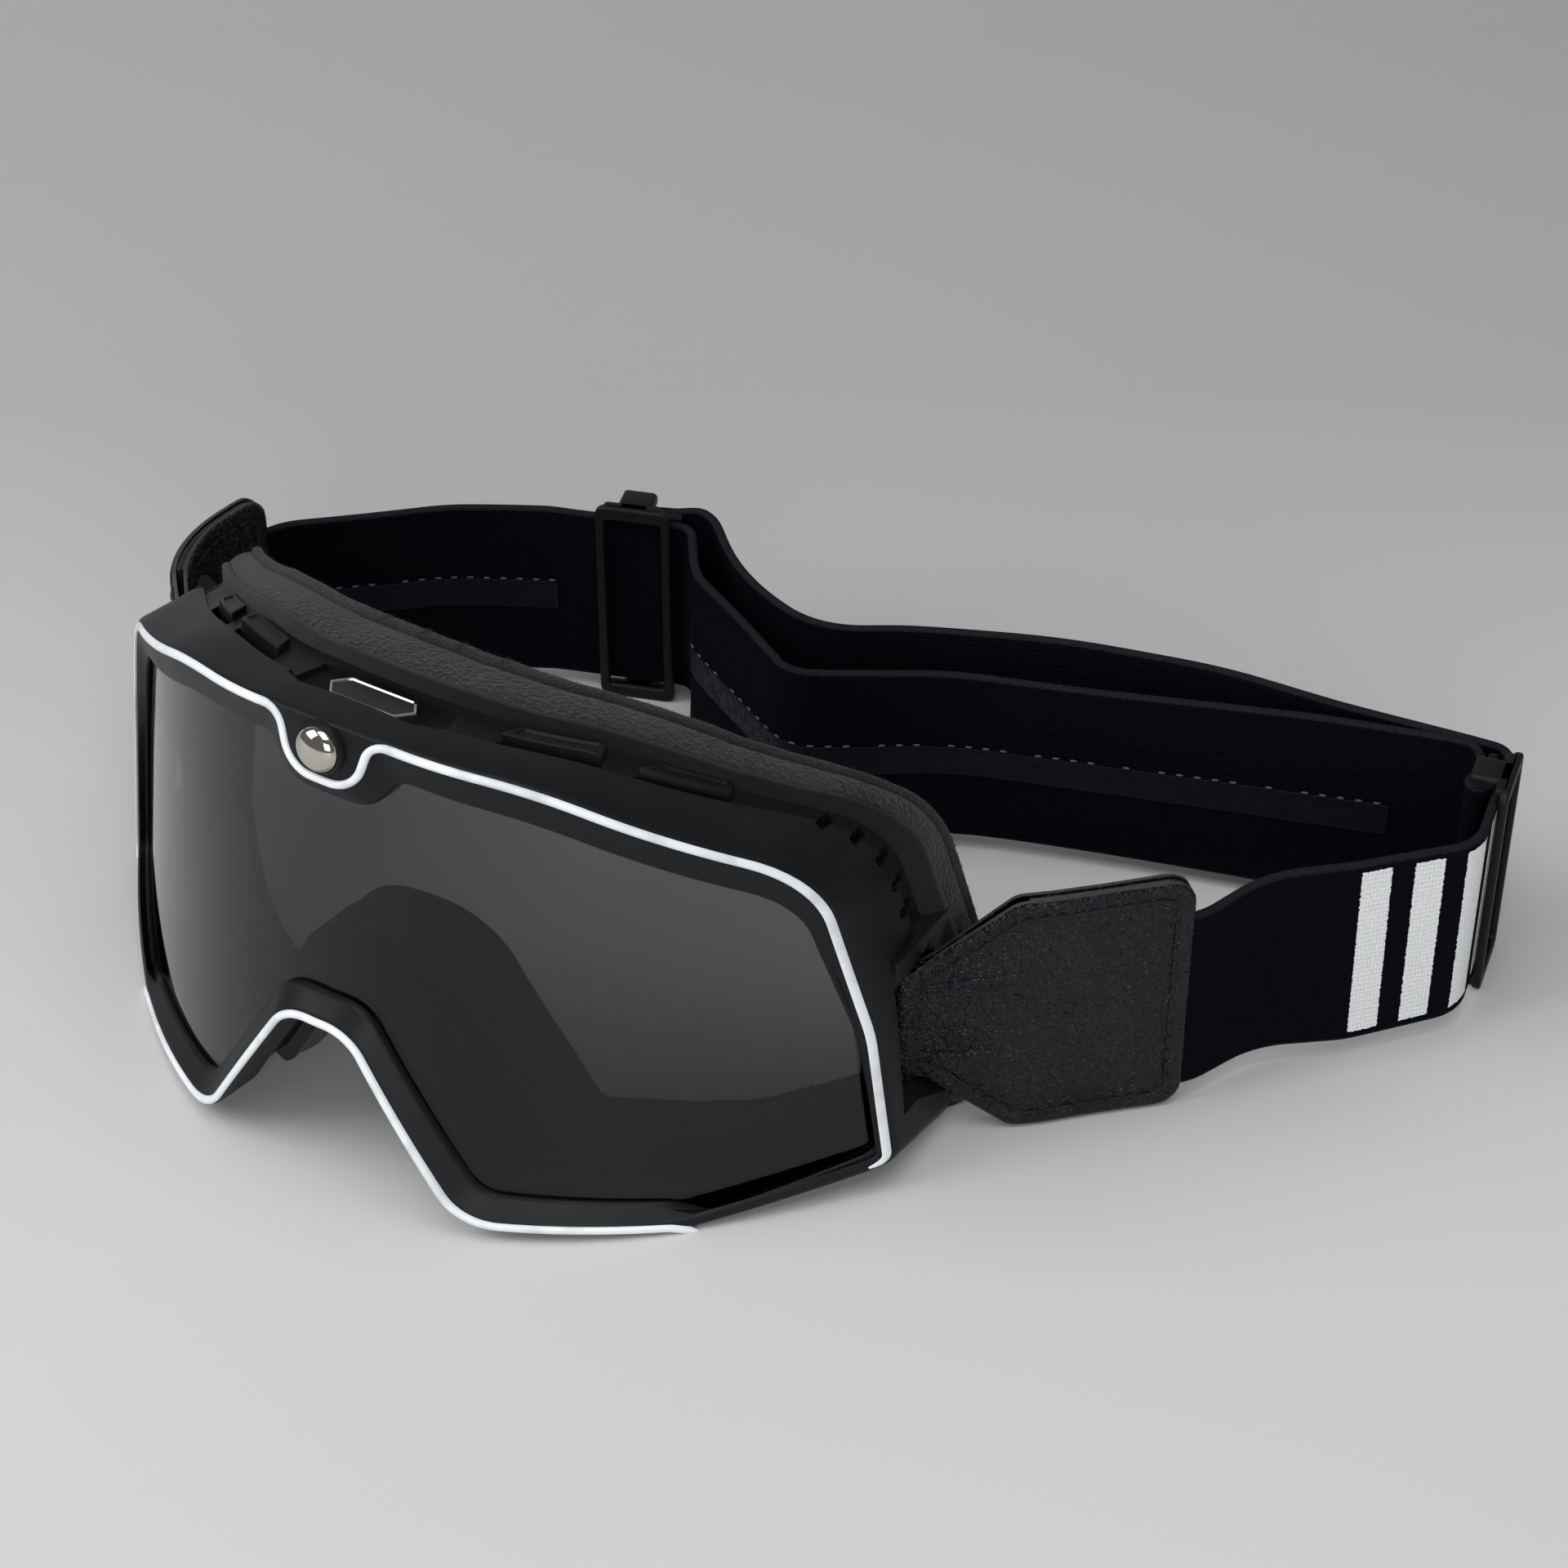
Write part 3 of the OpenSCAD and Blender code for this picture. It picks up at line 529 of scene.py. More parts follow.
def band_material(name, stripes=None):
    """Navy black knitted elastic; stripes is (first start, width, pitch, count, half height)."""
    look = Look(name)
    knit = knit_height(look)
    fuzz = look.texture("Noise", 2.2, coords="UV", Detail=6)
    dark = look.ramp(fuzz, 0.3, 0.75, (0.0012, 0.0014, 0.0028), (0.0048, 0.0052, 0.0098))
    look.plain(roughness=0.9, specular=0.04)
    first = look.bump(fuzz, 0.16)
    look.relief(knit, 0.14, first)
    source = look.nodes.new("ShaderNodeTexCoord")
    wobble = look.texture("Noise", 1.6, coords="UV", Detail=3)
    apart = look.nodes.new("ShaderNodeSeparateXYZ")
    look.link(source.outputs["UV"], apart.inputs[0])

    def blended(factor, a, b):
        mix = look.nodes.new("ShaderNodeMix")
        mix.data_type = "RGBA"
        look.link(factor, mix.inputs["Factor"])
        look.link(a, mix.inputs[6])
        look.link(b, mix.inputs[7])
        return mix.outputs[2]

    maths = look.maths
    jitter = maths("MULTIPLY", maths("SUBTRACT", wobble, 0.5), 0.9 * MM)
    along = maths("ADD", apart.outputs["X"], jitter)
    across = maths("ABSOLUTE", maths("ADD", apart.outputs["Y"], jitter), 0)
    edge = maths("GREATER_THAN", across, (BAND_W / 2 - 0.75) * MM)
    rolled = look.ramp(fuzz, 0.3, 0.7, (0.007, 0.008, 0.010), (0.016, 0.017, 0.020))
    dark = blended(edge, dark, rolled)
    if not stripes:
        look.link(dark, look.inputs["Base Color"])
        return look.made
    start, width, pitch, count, half = stripes
    local = maths("SUBTRACT", along, start * MM)
    phase = maths("MODULO", local, pitch * MM)
    inside = maths("MULTIPLY", maths("LESS_THAN", phase, width * MM),
                   maths("GREATER_THAN", local, 0))
    inside = maths("MULTIPLY", inside, maths("LESS_THAN", local, pitch * (count - 0.3) * MM))
    inside = maths("MULTIPLY", inside, maths("LESS_THAN", across, half * MM))
    pale = look.ramp(fuzz, 0.3, 0.7, (0.66, 0.67, 0.68), (0.90, 0.91, 0.92))
    look.link(blended(inside, dark, pale), look.inputs["Base Color"])
    return look.made


def plastic_material():
    """Matte moulded plastic."""
    look = Look("matte_plastic")
    fine = look.texture("Noise", 4, Detail=3)
    look.colour(fine, 0.3, 0.7, (0.0030, 0.0032, 0.0034), (0.0055, 0.0058, 0.0062))
    look.relief(fine, 0.02)
    look.plain(roughness=0.5, specular=0.2)
    return look.made


def grip_material():
    """Printed silicone strip: glossy and slightly uneven."""
    look = Look("silicone_grip")
    blobs = look.texture("Noise", 0.5, Detail=3)
    look.colour(blobs, 0.3, 0.7, (0.0015, 0.002, 0.005), (0.004, 0.0055, 0.011))
    look.rough(blobs, 0.3, 0.7, 0.35, 0.6)
    look.relief(blobs, 0.3)
    look.plain(specular=0.12)
    return look.made


def thread_material(name, colour):
    """Twisted sewing thread."""
    look = Look(name)
    twist = look.texture("Wave", 1.2, bands_direction="DIAGONAL", Distortion=1.0)
    look.colour(twist, 0, 1, tuple(c * 0.6 for c in colour), colour)
    look.relief(twist, 0.08)
    look.plain(roughness=0.7)
    return look.made


RUBBER = rubber_material()
LENS = lens_material()
PIPING = piping_material()
NICKEL = metal_material("nickel", (0.62, 0.59, 0.52), 0.07)
PLATE = metal_material("brushed_plate", (0.075, 0.075, 0.075), 0.38, brush=(0.15, 1, 1))
STEEL = metal_material("steel_bar", (0.4, 0.4, 0.42), 0.35)
FOAM = foam_material("soft_foam", (0.006, 0.0055, 0.005), (0.036, 0.032, 0.027), 1.1, 0.55)
FLEECE_CLOTH = foam_material("fleece", (0.006, 0.006, 0.006), (0.021, 0.020, 0.020), 2.2, 0.3)
BACKING = foam_material("foam_backing", (0.004, 0.004, 0.004), (0.009, 0.009, 0.009), 3.0, 0.1)
LEATHER = leather_material()
EDGE = painted_edge_material()
ELASTIC = band_material("elastic")
PLASTIC = plastic_material()
SILICONE = grip_material()
BLACK_THREAD = thread_material("black_thread", (0.0008, 0.0008, 0.0010))
PALE_THREAD = thread_material("pale_thread", (0.10, 0.11, 0.14))


# ---- Frame ----
VENTS = ((32, 16), (51, 13))
SLOT_W = 2.6
SHOULDER_SLOTS = ((21.1, 21.5, 38), (17, 25.2, 48), (13.7, 29.9, 57), (11.4, 35.4, 67),
                  (10.2, 41.2, 74))  # in from the side, down from the brow, lean in degrees
SMALL_SLOT_BACK = 4.5
SMALL_SLOT_HALF = (0.95, 3.2)
CUT_REACH = 5
EYE_R = BAR_D / 2 + RUN_GAP / 2 + LEATHER_T
NOSE_L, SHOULDER_L = 3.0, 20.5


def top_z(x):
    """The height of the frame's top edge, from brow to shoulder."""
    if abs(x) < BROW_X:
        return brow_z(x)
    return BROW_RISE - BROW_FALL - (23.3 - BROW_FALL) * (abs(x) - BROW_X) / (HALF_W - 13 - BROW_X)


def frame_rings():
    """The frame's section, as rings from the lens round the outside and back through the inside."""
    rear = inset(OUTER, REAR_STEP)
    floor = WALL - 0.6
    section = [
        (OPENING, behind(front_y, 4.1), None),
        (OPENING, behind(front_y, 3.4), None),
        (inset(OPENING, -0.35), behind(front_y, 2.75), None),
        (inset(OPENING, -0.9), behind(front_y, 2.45), None),
        (inset(CREST, 1.5), behind(front_y, 0.75), None),
        (inset(CREST, 0.9), behind(front_y, 0.35), None),
        (CREST, behind(front_y, 0.2), None),
        (inset(OUTER, 0.55), behind(front_y, 0.3), 0),
        (inset(OUTER, 0.2), behind(front_y, 0.65), 0),
        (OUTER, behind(front_y, 1.4), 0),
        (OUTER, behind(front_y, RIM_D), 0),
        (OUTER, behind(step_y, -1.0), 0),
        (inset(OUTER, 0.12), behind(step_y, -0.4), 0),
        (inset(OUTER, 0.5), behind(step_y, 0), 0),
        (inset(OUTER, REAR_STEP - 0.1), behind(step_y, 0.25), 0),
        (rear, behind(step_y, 0.7), 0),
        (rear, behind(back_y, 0), 0),
        (inset(rear, FLANGE_W), behind(back_y, 0), floor),
        (inset(rear, FLANGE_W), behind(back_y, -FLANGE_T), floor),
        (inset(rear, WALL), behind(back_y, -FLANGE_T), floor),
        (inset(rear, WALL), behind(front_y, RIM_D), floor),
        (inset(OPENING, -0.3), behind(front_y, RIM_D), None),
        (OPENING, behind(front_y, RIM_D - 0.4), None),
        (OPENING, behind(front_y, 6.2), None),
        (inset(OPENING, -2.0), behind(front_y, 6.0), None),
        (inset(OPENING, -2.0), behind(front_y, 4.2), None)]
    return [at_depth(ring(outline), depth, low) for outline, depth, low in section]


def on_top(x, back, up):
    """A row point on the top of the frame, back from the step and up from the rear tier."""
    return in_row(x, step_y(x) + back, top_z(x) - REAR_STEP + up)


def slab(x0, x1, corners, runs=10):
    """A bar along the top from x0 to x1, with a section of (back, up) corners."""
    xs = [x0 + (x1 - x0) * i / runs for i in range(runs + 1)]
    return capped([[on_top(x, b, u) for b, u in corners] for x in xs])


def pocket_cutter():
    half, front, rear = PLATE_L / 2 + 8, RIM_D + 1.4, DEPTH_MID - 1.2
    corners = [(-half, front + 2.6), (-half + 5, front), (half - 5, front), (half, front + 2.6),
               (half - 2, rear), (-half + 2, rear)]
    low, high = BROW_RISE - 5, BROW_RISE + 2
    deep = [(x * 0.93, y) for x, y in corners]
    return capped([[in_row(x, y, low) for x, y in deep], [in_row(x, y, high) for x, y in corners]])


def small_slot(inwards, drop, lean, side):
    """A block square to the shoulder, at one of its slots."""
    w, l = SMALL_SLOT_HALF
    x, z = side * (HALF_W - inwards), BROW_RISE - drop
    y, a = back_y(x) - SMALL_SLOT_BACK, math.radians(lean)
    out, along = (side * math.sin(a), math.cos(a)), (side * math.cos(a), -math.sin(a))
    shape = ring([[-w, -l, 0.4], [w, -l, 0.4], [w, l, 0.4], [-w, l, 0.4]], 3, 2)
    return capped([[in_row(x + out[0] * r + along[0] * u, y + v, z + out[1] * r + along[1] * u)
                    for u, v in shape] for r in (-CUT_REACH, CUT_REACH)])


def straight_up(x, y, z):
    return Vector((x, y, z)) * MM


def strap_window(side):
    """A cutter for the window that a tab passes through, wider towards the outside."""
    half, room = TAB_NOSE_H / 2 + RUN_GAP, EYE_R + 0.8
    flare, rear_bend, rear_end = 0.6, 6.5, 18.5
    x0, x1 = PIVOT_X - room, HALF_W + CUT_REACH
    corners = [(x0, PIVOT_Y - room), (x1, PIVOT_Y - room - (x1 - x0) * flare),
               (x1, PIVOT_Y + rear_end), (PIVOT_X + 1, PIVOT_Y + rear_bend), (x0, PIVOT_Y + room)]
    corners = [(side * x, y) for x, y in corners]
    return prism(corners, TAB_Z - half, TAB_Z + half, straight_up)


def nose_room(side):
    """A cutter for the way of a tab's tapered end through the side wall, over its whole swing."""
    u = unit((FRONTS[side][1][0] - FRONTS[side][0][0], FRONTS[side][1][1] - FRONTS[side][0][1]))
    n = (u[1], -u[0]) if side == "right" else (-u[1], u[0])
    start, widens, end = 0.4, NOSE_L - 0.9, 16
    inner, outer, gap = -3.6, 10, 0.6
    nose = TAB_NOSE_H / 2 + RUN_GAP
    half = nose + (TAB_H - TAB_NOSE_H) / 2 * (end - NOSE_L) / (SHOULDER_L - NOSE_L) + gap
    outline = [(start, -nose), (widens, -nose), (end, -half),
               (end, half), (widens, nose), (start, nose)]
    x, y = FRONTS[side][0][:2]
    return capped([[Vector((x + u[0] * s + n[0] * off, y + u[1] * s + n[1] * off, TAB_Z + h)) * MM
                    for s, h in outline] for off in (inner, outer)])


def louvre(x, v, side):
    """A raised plate behind a top slot, with a bevelled border round a shallow tray."""
    a, b = x - v / 2, x + v / 2
    near, far = SLOT_W + 0.4, SLOT_W + 5.2
    shape = [[a + 0.2, near, 0.4], [b - 0.2, near, 0.4], [b - 1.6, far, 0.8], [a + 1.4, far, 0.8]]
    rows = ((0, -1.2), (0, REAR_STEP - 0.15), (0.12, REAR_STEP + 0.05), (0.4, REAR_STEP + 0.15),
            (0.85, REAR_STEP + 0.15), (1.1, REAR_STEP - 0.05), (1.3, REAR_STEP - 0.3))
    return capped([[on_top(side * px, back, up - 0.09 * (back - SLOT_W))
                    for px, back in ring(inset(shape, d), 4, 6)] for d, up in rows])


def build_frame():
    solid = lofted(frame_rings(), closed_along=True)
    shell = new_piece("frame_shell", solid, RUBBER, "goggles", ["frame"])
    slot = [(0.35, -4.5), (SLOT_W + 0.35, -4.5), (SLOT_W + 0.35, 4), (0.35, 4)]
    cutters = [slab(side * (x - v / 2), side * (x + v / 2), slot)
               for x, v in VENTS for side in (-1, 1)]
    cutters.append(pocket_cutter())
    windows = [strap_window(side) for side in (-1, 1)] + [nose_room(side) for side in FRONTS]
    cutters += [small_slot(*place, side) for place in SHOULDER_SLOTS for side in (-1, 1)]
    cut(shell, cutters + windows)
    shade(shell, 32)
    solid = joined([louvre(x, v, side) for x, v in VENTS for side in (-1, 1)] + [pocket_tray()])
    new_piece("frame_fittings", solid, RUBBER, "goggles", sharp=25)
    solid = joined([strap_block(side) for side in (-1, 1)])
    blocks = new_piece("strap_blocks", solid, RUBBER, "goggles")
    cut(blocks, windows)


def pocket_tray():
    """The floor of the recess for the plate."""
    half = PLATE_L / 2 + 10
    corners = [(-half, RIM_D), (half, RIM_D), (half, DEPTH_MID), (-half, DEPTH_MID)]
    return prism(corners, BROW_RISE - 7.4, BROW_RISE - 5, in_row)


def strap_block(side):
    """The block inside the frame that holds a strap bar, before its window is cut."""
    x0, x1 = PIVOT_X - EYE_R - 3, PIVOT_X + 2
    shape = [[x0, PIVOT_Y - 6, 1], [x1, PIVOT_Y - 6, 0.5],
             [x1, PIVOT_Y + 14, 0.5], [x0, PIVOT_Y + 5, 1]]
    corners = [(side * x, y) for x, y in ring(shape, 3, 2)]
    half = TAB_NOSE_H / 2 + RUN_GAP + 5
    return prism(corners, TAB_Z - half, TAB_Z + half, straight_up)


def build_lens():
    """The lens, in columns from its lower edge to its upper edge."""
    edge = ring(inset(OPENING, -LENS_GRIP))
    right = [p for p in edge if p[0] >= -1e-6]
    while right[-1][1] < 0:
        right.insert(0, right.pop())
    turn_at = max(range(len(right)), key=lambda i: right[i][0])
    lower, upper = right[:turn_at + 1], right[turn_at:]
    reach = right[turn_at][0]

    def height(chain, x):
        for a, b in zip(chain, chain[1:]):
            if min(a[0], b[0]) <= x <= max(a[0], b[0]) and a[0] != b[0]:
                return a[1] + (b[1] - a[1]) * (x - a[0]) / (b[0] - a[0])
        return min(chain, key=lambda p: abs(p[0] - x))[1]

    half = [reach * math.sin(math.pi / 2 * i / 60) for i in range(61)]
    xs = [-x for x in reversed(half[1:])] + half
    rows, sheets = 24, []
    for depth in (LENS_RECESS, LENS_RECESS + LENS_T):
        columns = []
        for x in xs:
            low, high = height(lower, abs(x)), height(upper, abs(x))
            columns.append([in_row(x, front_y(x) + depth, low + (high - low) * k / rows)
                            for k in range(rows + 1)])
        sheets.append(columns)
    loops = [a + list(reversed(b)) for a, b in zip(*sheets)]
    new_piece("lens_pane", capped(loops), LENS, "goggles", ["lens"], sharp=50)


def piping_strip(name, corners, node):
    """A half-round cord set along a line on the crest of the rim."""
    line = resampled(path(corners, 14), 0.8)
    half = PIPING_W / 2
    section = [(-half, -0.6), (-half, 0.0), (-half * 0.8, 0.32), (-half * 0.4, 0.48), (0, 0.53),
               (half * 0.4, 0.48), (half * 0.8, 0.32), (half, 0.0), (half, -0.6)]
    rings = []
    for i, ((x, z), n) in enumerate(zip(line, lefts(line))):
        ends = min(i, len(line) - 1 - i)
        taper = min(1, 0.35 + 0.3 * ends)
        across = taper / math.hypot(1, 2 * WRAP_D * x / HALF_W ** 2 * n[0] * 0.8)
        rings.append([in_row(x + n[0] * a * across, front_y(x + n[0] * a * across) - b * taper,
                             z + n[1] * a * across) for a, b in section])
    new_piece(name, capped(rings), PIPING, "goggles", [node], sharp=60)


def build_piping():
    for name, k, run_out, radius, rest in (("upper", 4, -2.2, 2.5, CREST[5:10]),
                                           ("lower", 2, 3.6, 5, [CREST[1], CREST[0]])):
        x, z = CREST[k][:2]
        line = [[x + run_out, z - 1, 0], [x, z, radius]] + rest
        piping_strip(f"piping_{name}", mirrored(line), f"{name}_piping")


def lathe(profile, place, steps=48):
    """A turned solid: profile is (radius, depth) pairs from axis to axis."""
    rings = [[place(r * math.cos(2 * math.pi * k / steps), d, r * math.sin(2 * math.pi * k / steps))
              for k in range(steps)] for r, d in profile]
    return lofted(rings)


def build_stud():
    def place(a, d, b):
        return in_row(a, d, STUD_Z + b)

    rise = 2.4
    dome = [(STUD_D / 2 * math.sin(t), -0.8 - rise * math.cos(t))
            for t in [math.pi / 2 * i / 14 for i in range(15)]]
    dome[0] = (0.01, dome[0][1])
    shank = [(STUD_D / 2, -0.55), (STUD_D / 2 - 0.4, -0.4), (SHANK_D / 2, -0.4), (SHANK_D / 2, 5.8),
             (SHANK_D / 2 + 1, 5.8), (SHANK_D / 2 + 1, 6.5), (0.01, 6.6)]
    new_piece("stud_dome", lathe(dome + shank, place), NICKEL, "goggles", ["stud"])
    r = STUD_D / 2 + 0.7
    seat = [(SHANK_D / 2, -0.4), (r - 1.1, -0.55), (r - 0.7, -0.95), (r - 0.3, -0.95), (r, -0.5),
            (r, 0.6), (SHANK_D / 2, 0.6)]
    new_piece("stud_seat_ring", lathe(seat, place), RUBBER, "goggles", ["stud_seat"])
    finish_node("stud_washer", NICKEL)


def build_plate():
    """The bare plate: a raised bright rim round a darker field."""
    slant, w, l = 2.5, PLATE_W, PLATE_L
    mid = (RIM_D + 1.4 + DEPTH_MID - 1.2) / 2
    outline = [[-l / 2, 0, 0.2], [-l / 2 + slant, -w / 2, 0.5], [l / 2 - slant, -w / 2, 0.5],
               [l / 2, 0, 0.2], [l / 2 - slant, w / 2, 0.5], [-l / 2 + slant, w / 2, 0.5]]
    low = BROW_RISE - 5
    rows = ((0, 0), (0, 1.5), (0.15, 1.75), (0.55, 1.75), (0.75, 1.5))
    rings = [[in_row(x, mid + y, low + up) for x, y in ring(inset(outline, d), 3, 3)]
             for d, up in rows]
    solid = capped(rings)
    rim = new_piece("plate_body", solid, NICKEL, "goggles", ["nameplate"], sharp=25)
    rim.data.materials.append(PLATE)
    for face in rim.data.polygons:
        if len(face.vertices) > 4:
            face.material_index = 1


# ---- Foam ----
def foam_back(d):
    """A face of the foam: the soft layers thin out towards the sides."""
    firm, soft = min(d, FOAM_BASE), max(0, d - FOAM_BASE)
    return lambda x: back_y(x) + firm + soft * (1 - FOAM_SIDE * (x / HALF_W) ** 2)


def foam_layer(name, near, far, bulge, material, nodes):
    """One ring of foam, with outer and inner faces that bulge between its two flat faces."""
    outer, steps, rings = inset(OUTER, -FOAM_OUT), 8, []
    for inner in (False, True):
        for i in range(steps + 1):
            t = 1 - i / steps if inner else i / steps
            swell = bulge * (math.sin(math.pi * t) ** 0.6 if 0 < t < 1 else 0)
            edge = FOAM_W - 0.7 * bulge + swell if inner else 0.7 * bulge - swell
            depth = foam_back(near + (far - near) * t)
            rings.append(at_depth(ring(inset(outer, edge)), depth, 0.6 if inner else 0.3))
    solid = lofted(rings, closed_along=True)
    piece = new_piece(name, solid, material, "goggles", nodes, sharp=60)
    for vertex in piece.data.vertices:
        p = vertex.co
        push = noise.noise(Vector(p) * 90) * 0.00035 + noise.noise(Vector(p) * 420) * 0.00012
        vertex.co = p + vertex.normal * push
    return piece


def build_foam():
    foam_layer("foam_base", 0, FOAM_BASE, 0.1, BACKING, ["foam_backing"])
    core = foam_layer("foam_body", FOAM_BASE, FOAM_BASE + FOAM_CORE, 0.9, FOAM,
                      ["foam_core"])
    face = foam_layer("fleece_face", FOAM_BASE + FOAM_CORE, FOAM_BASE + FOAM_CORE + FLEECE, 0.6,
                      FLEECE_CLOTH, ["face_fleece"])
    fuzz(face)
    finish_node("vent_foam", BACKING)
    finish_node("left_strap_bar", STEEL)
    finish_node("right_strap_bar", STEEL)


def fuzz(piece):
    """Short tapered fibres that stand out of a pile fabric."""
    dice, per_face = random.Random(5), 1.4
    points, faces = [], []
    mesh = piece.data
    for face in mesh.polygons:
        for _ in range(int(per_face + dice.random())):
            corners = [mesh.vertices[v].co for v in face.vertices]
            mix = [dice.random() for _ in corners]
            root = sum((c * m for c, m in zip(corners, mix)), Vector()) / sum(mix)
            tilt = Vector([dice.uniform(-1, 1) for _ in range(3)]) * 0.8
            lean = (face.normal + tilt).normalized() * dice.uniform(0.35, 0.8) * MM
            side = face.normal.cross(lean).normalized() * 0.05 * MM
            points += [root - side, root + side, root + lean]
            faces.append((len(points) - 3, len(points) - 2, len(points) - 1))
    mesh = new_mesh("fleece_fibres", points, faces)
    mesh.materials.append(piece.data.materials[0])
    fibres = new_object("fleece_fibres", mesh)
    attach(fibres, "goggles")


def finish_node(node, material):
    """Gives a CAD node that stays a finished material."""
    part = bpy.data.objects[node]
    if not part.material_slots:
        part.data.materials.append(material)
    for place in part.material_slots:
        place.material = material


# ---- Strap routes, as in part.scad ----
def scaled(v, k):
    return (v[0] * k, v[1] * k)


def plus(a, b):
    return (a[0] + b[0], a[1] + b[1])


SLIDE_TRAVEL = 6.0
TURNS = {"right": (HALF_W + 63.3, 144.7), "left": (-HALF_W + 65.5, 126.7)}
DIRS = {"right": unit((-7, 34.5)), "left": unit((32, 11))}
SLIDER_BACK = SLIDER_L / 2 + 4.2
SLIDERS = {k: plus(TURNS[k], scaled(DIRS[k], -SLIDER_BACK)) for k in TURNS}
STRAIGHT_L = SLIDER_L + SLIDE_TRAVEL + 9
STARTS = {k: plus(TURNS[k], scaled(DIRS[k], -STRAIGHT_L)) for k in TURNS}
BAR_R = 1.1
BAR_OFF = BAND_T / 2 + RUN_GAP + BAND_T + 0.1 + BAR_R
OTHER = {"right": "left", "left": "right"}


def in_slider(side, along, off):
    """A plane point near a slider, along its band and to the left of it."""
    u = DIRS[side]
    return plus(SLIDERS[side], (u[0] * along - u[1] * off, u[1] * along + u[0] * off))


FRONTS = {
    "right": [[PIVOT_X, PIVOT_Y, 0], [HALF_W + 12, 46, 60], [HALF_W + 34.5, 68.1, 14],
              [HALF_W + 40, 84.1, 25], [HALF_W + 53.5, 95.5, 30], [*STARTS["right"], 10]],
    "left": [[-PIVOT_X, PIVOT_Y, 0], [-HALF_W - 14, 53.5, 30], [-HALF_W - 11, 81.5, 15],
             [-HALF_W + 16.5, 106.1, 40], [*STARTS["left"], 10]]}
BACKS = {
    "right": [[*TURNS["right"], 4], [HALF_W + 26.5, 141.5, 90], [HALF_W + 3.7, 139.5, 90],
              [62, 130.2, 150], [31, 117.1, 60], [17, 108.1, 20], [-9, 118.7, 60],
              [*in_slider("left", 15, 7.4), 5]],
    "left": [[*TURNS["left"], 4.5], [-15, 111.5, 12], [20.5, 91.9, 9], [48, 110.5, 60],
             [HALF_W + 9.4, 128.1, 150], [*in_slider("right", 12.5, 7.4), 4]]}


def fold(side):
    """The route of a band's sewn end: in beside the bar, round it and back."""
    r = BAR_R + 0.1 + BAND_T / 2
    lane = BAND_T / 2 + 0.05
    wrap = [in_slider(side, r * math.cos(a), BAR_OFF + r * math.sin(a))
            for a in [math.radians(70 + 220 * i / 12) for i in range(13)]]
    return ([in_slider(side, 8, BAR_OFF + lane + 0.4), in_slider(side, 3.6, BAR_OFF + lane)] + wrap
            + [in_slider(side, 3.6, BAR_OFF - lane), in_slider(side, 9.5, BAR_OFF - lane)])


def smoothed(points, rounds, keep):
    """Softens a path, but not where keep says so or at its ends."""
    for _ in range(rounds):
        moved = list(points)
        for i in range(1, len(points) - 1):
            if not keep(points[i]):
                moved[i] = ((points[i - 1][0] + 2 * points[i][0] + points[i + 1][0]) / 4,
                            (points[i - 1][1] + 2 * points[i][1] + points[i + 1][1]) / 4)
        points = moved
    return points


def near_slider(p):
    return any(math.dist(p, SLIDERS[k]) < 15 for k in SLIDERS)


FRONT_ROUTES = {k: resampled(path(FRONTS[k] + [[*in_slider(k, 0.4, 0), 0]]), 1.2) for k in FRONTS}
BACK_ROUTES = {}
for key in BACKS:
    corners = [[*in_slider(key, 0.2, 0), 0]] + BACKS[key] + [[*fold(OTHER[key])[0], 0]]
    route = smoothed(resampled(path(corners), 1.2), 10, near_slider)
    BACK_ROUTES[key] = route + resampled(fold(OTHER[key]), 0.5)[1:]


def distances(points):
    out = [0.0]
    for a, b in zip(points, points[1:]):
        out.append(out[-1] + math.dist(a, b))
    return out


def point_at(route, s):
    """The point and the left normal at a distance along a route."""
    along = distances(route)
    i = max(k for k in range(len(along) - 1) if along[k] <= s or k == 0)
    t = (s - along[i]) / (along[i + 1] - along[i])
    a, b = route[i], route[i + 1]
    u = unit((b[0] - a[0], b[1] - a[1]))
    return (a[0] + (b[0] - a[0]) * t, a[1] + (b[1] - a[1]) * t), (-u[1], u[0])


def sway(p, height):
    """How far a free band leans to its side at a height above its middle; none near a slider."""
    free = min(1, max(0, (min(math.dist(p, SLIDERS[k]) for k in SLIDERS) - 14) / 25))
    free *= min(1, max(0, (math.dist(p, (0, 0)) - 92) / 30)) if p[1] < 95 else 1
    return free * height / (BAND_W / 2) * 1.1 * math.sin(p[0] * 0.037 + p[1] * 0.021)


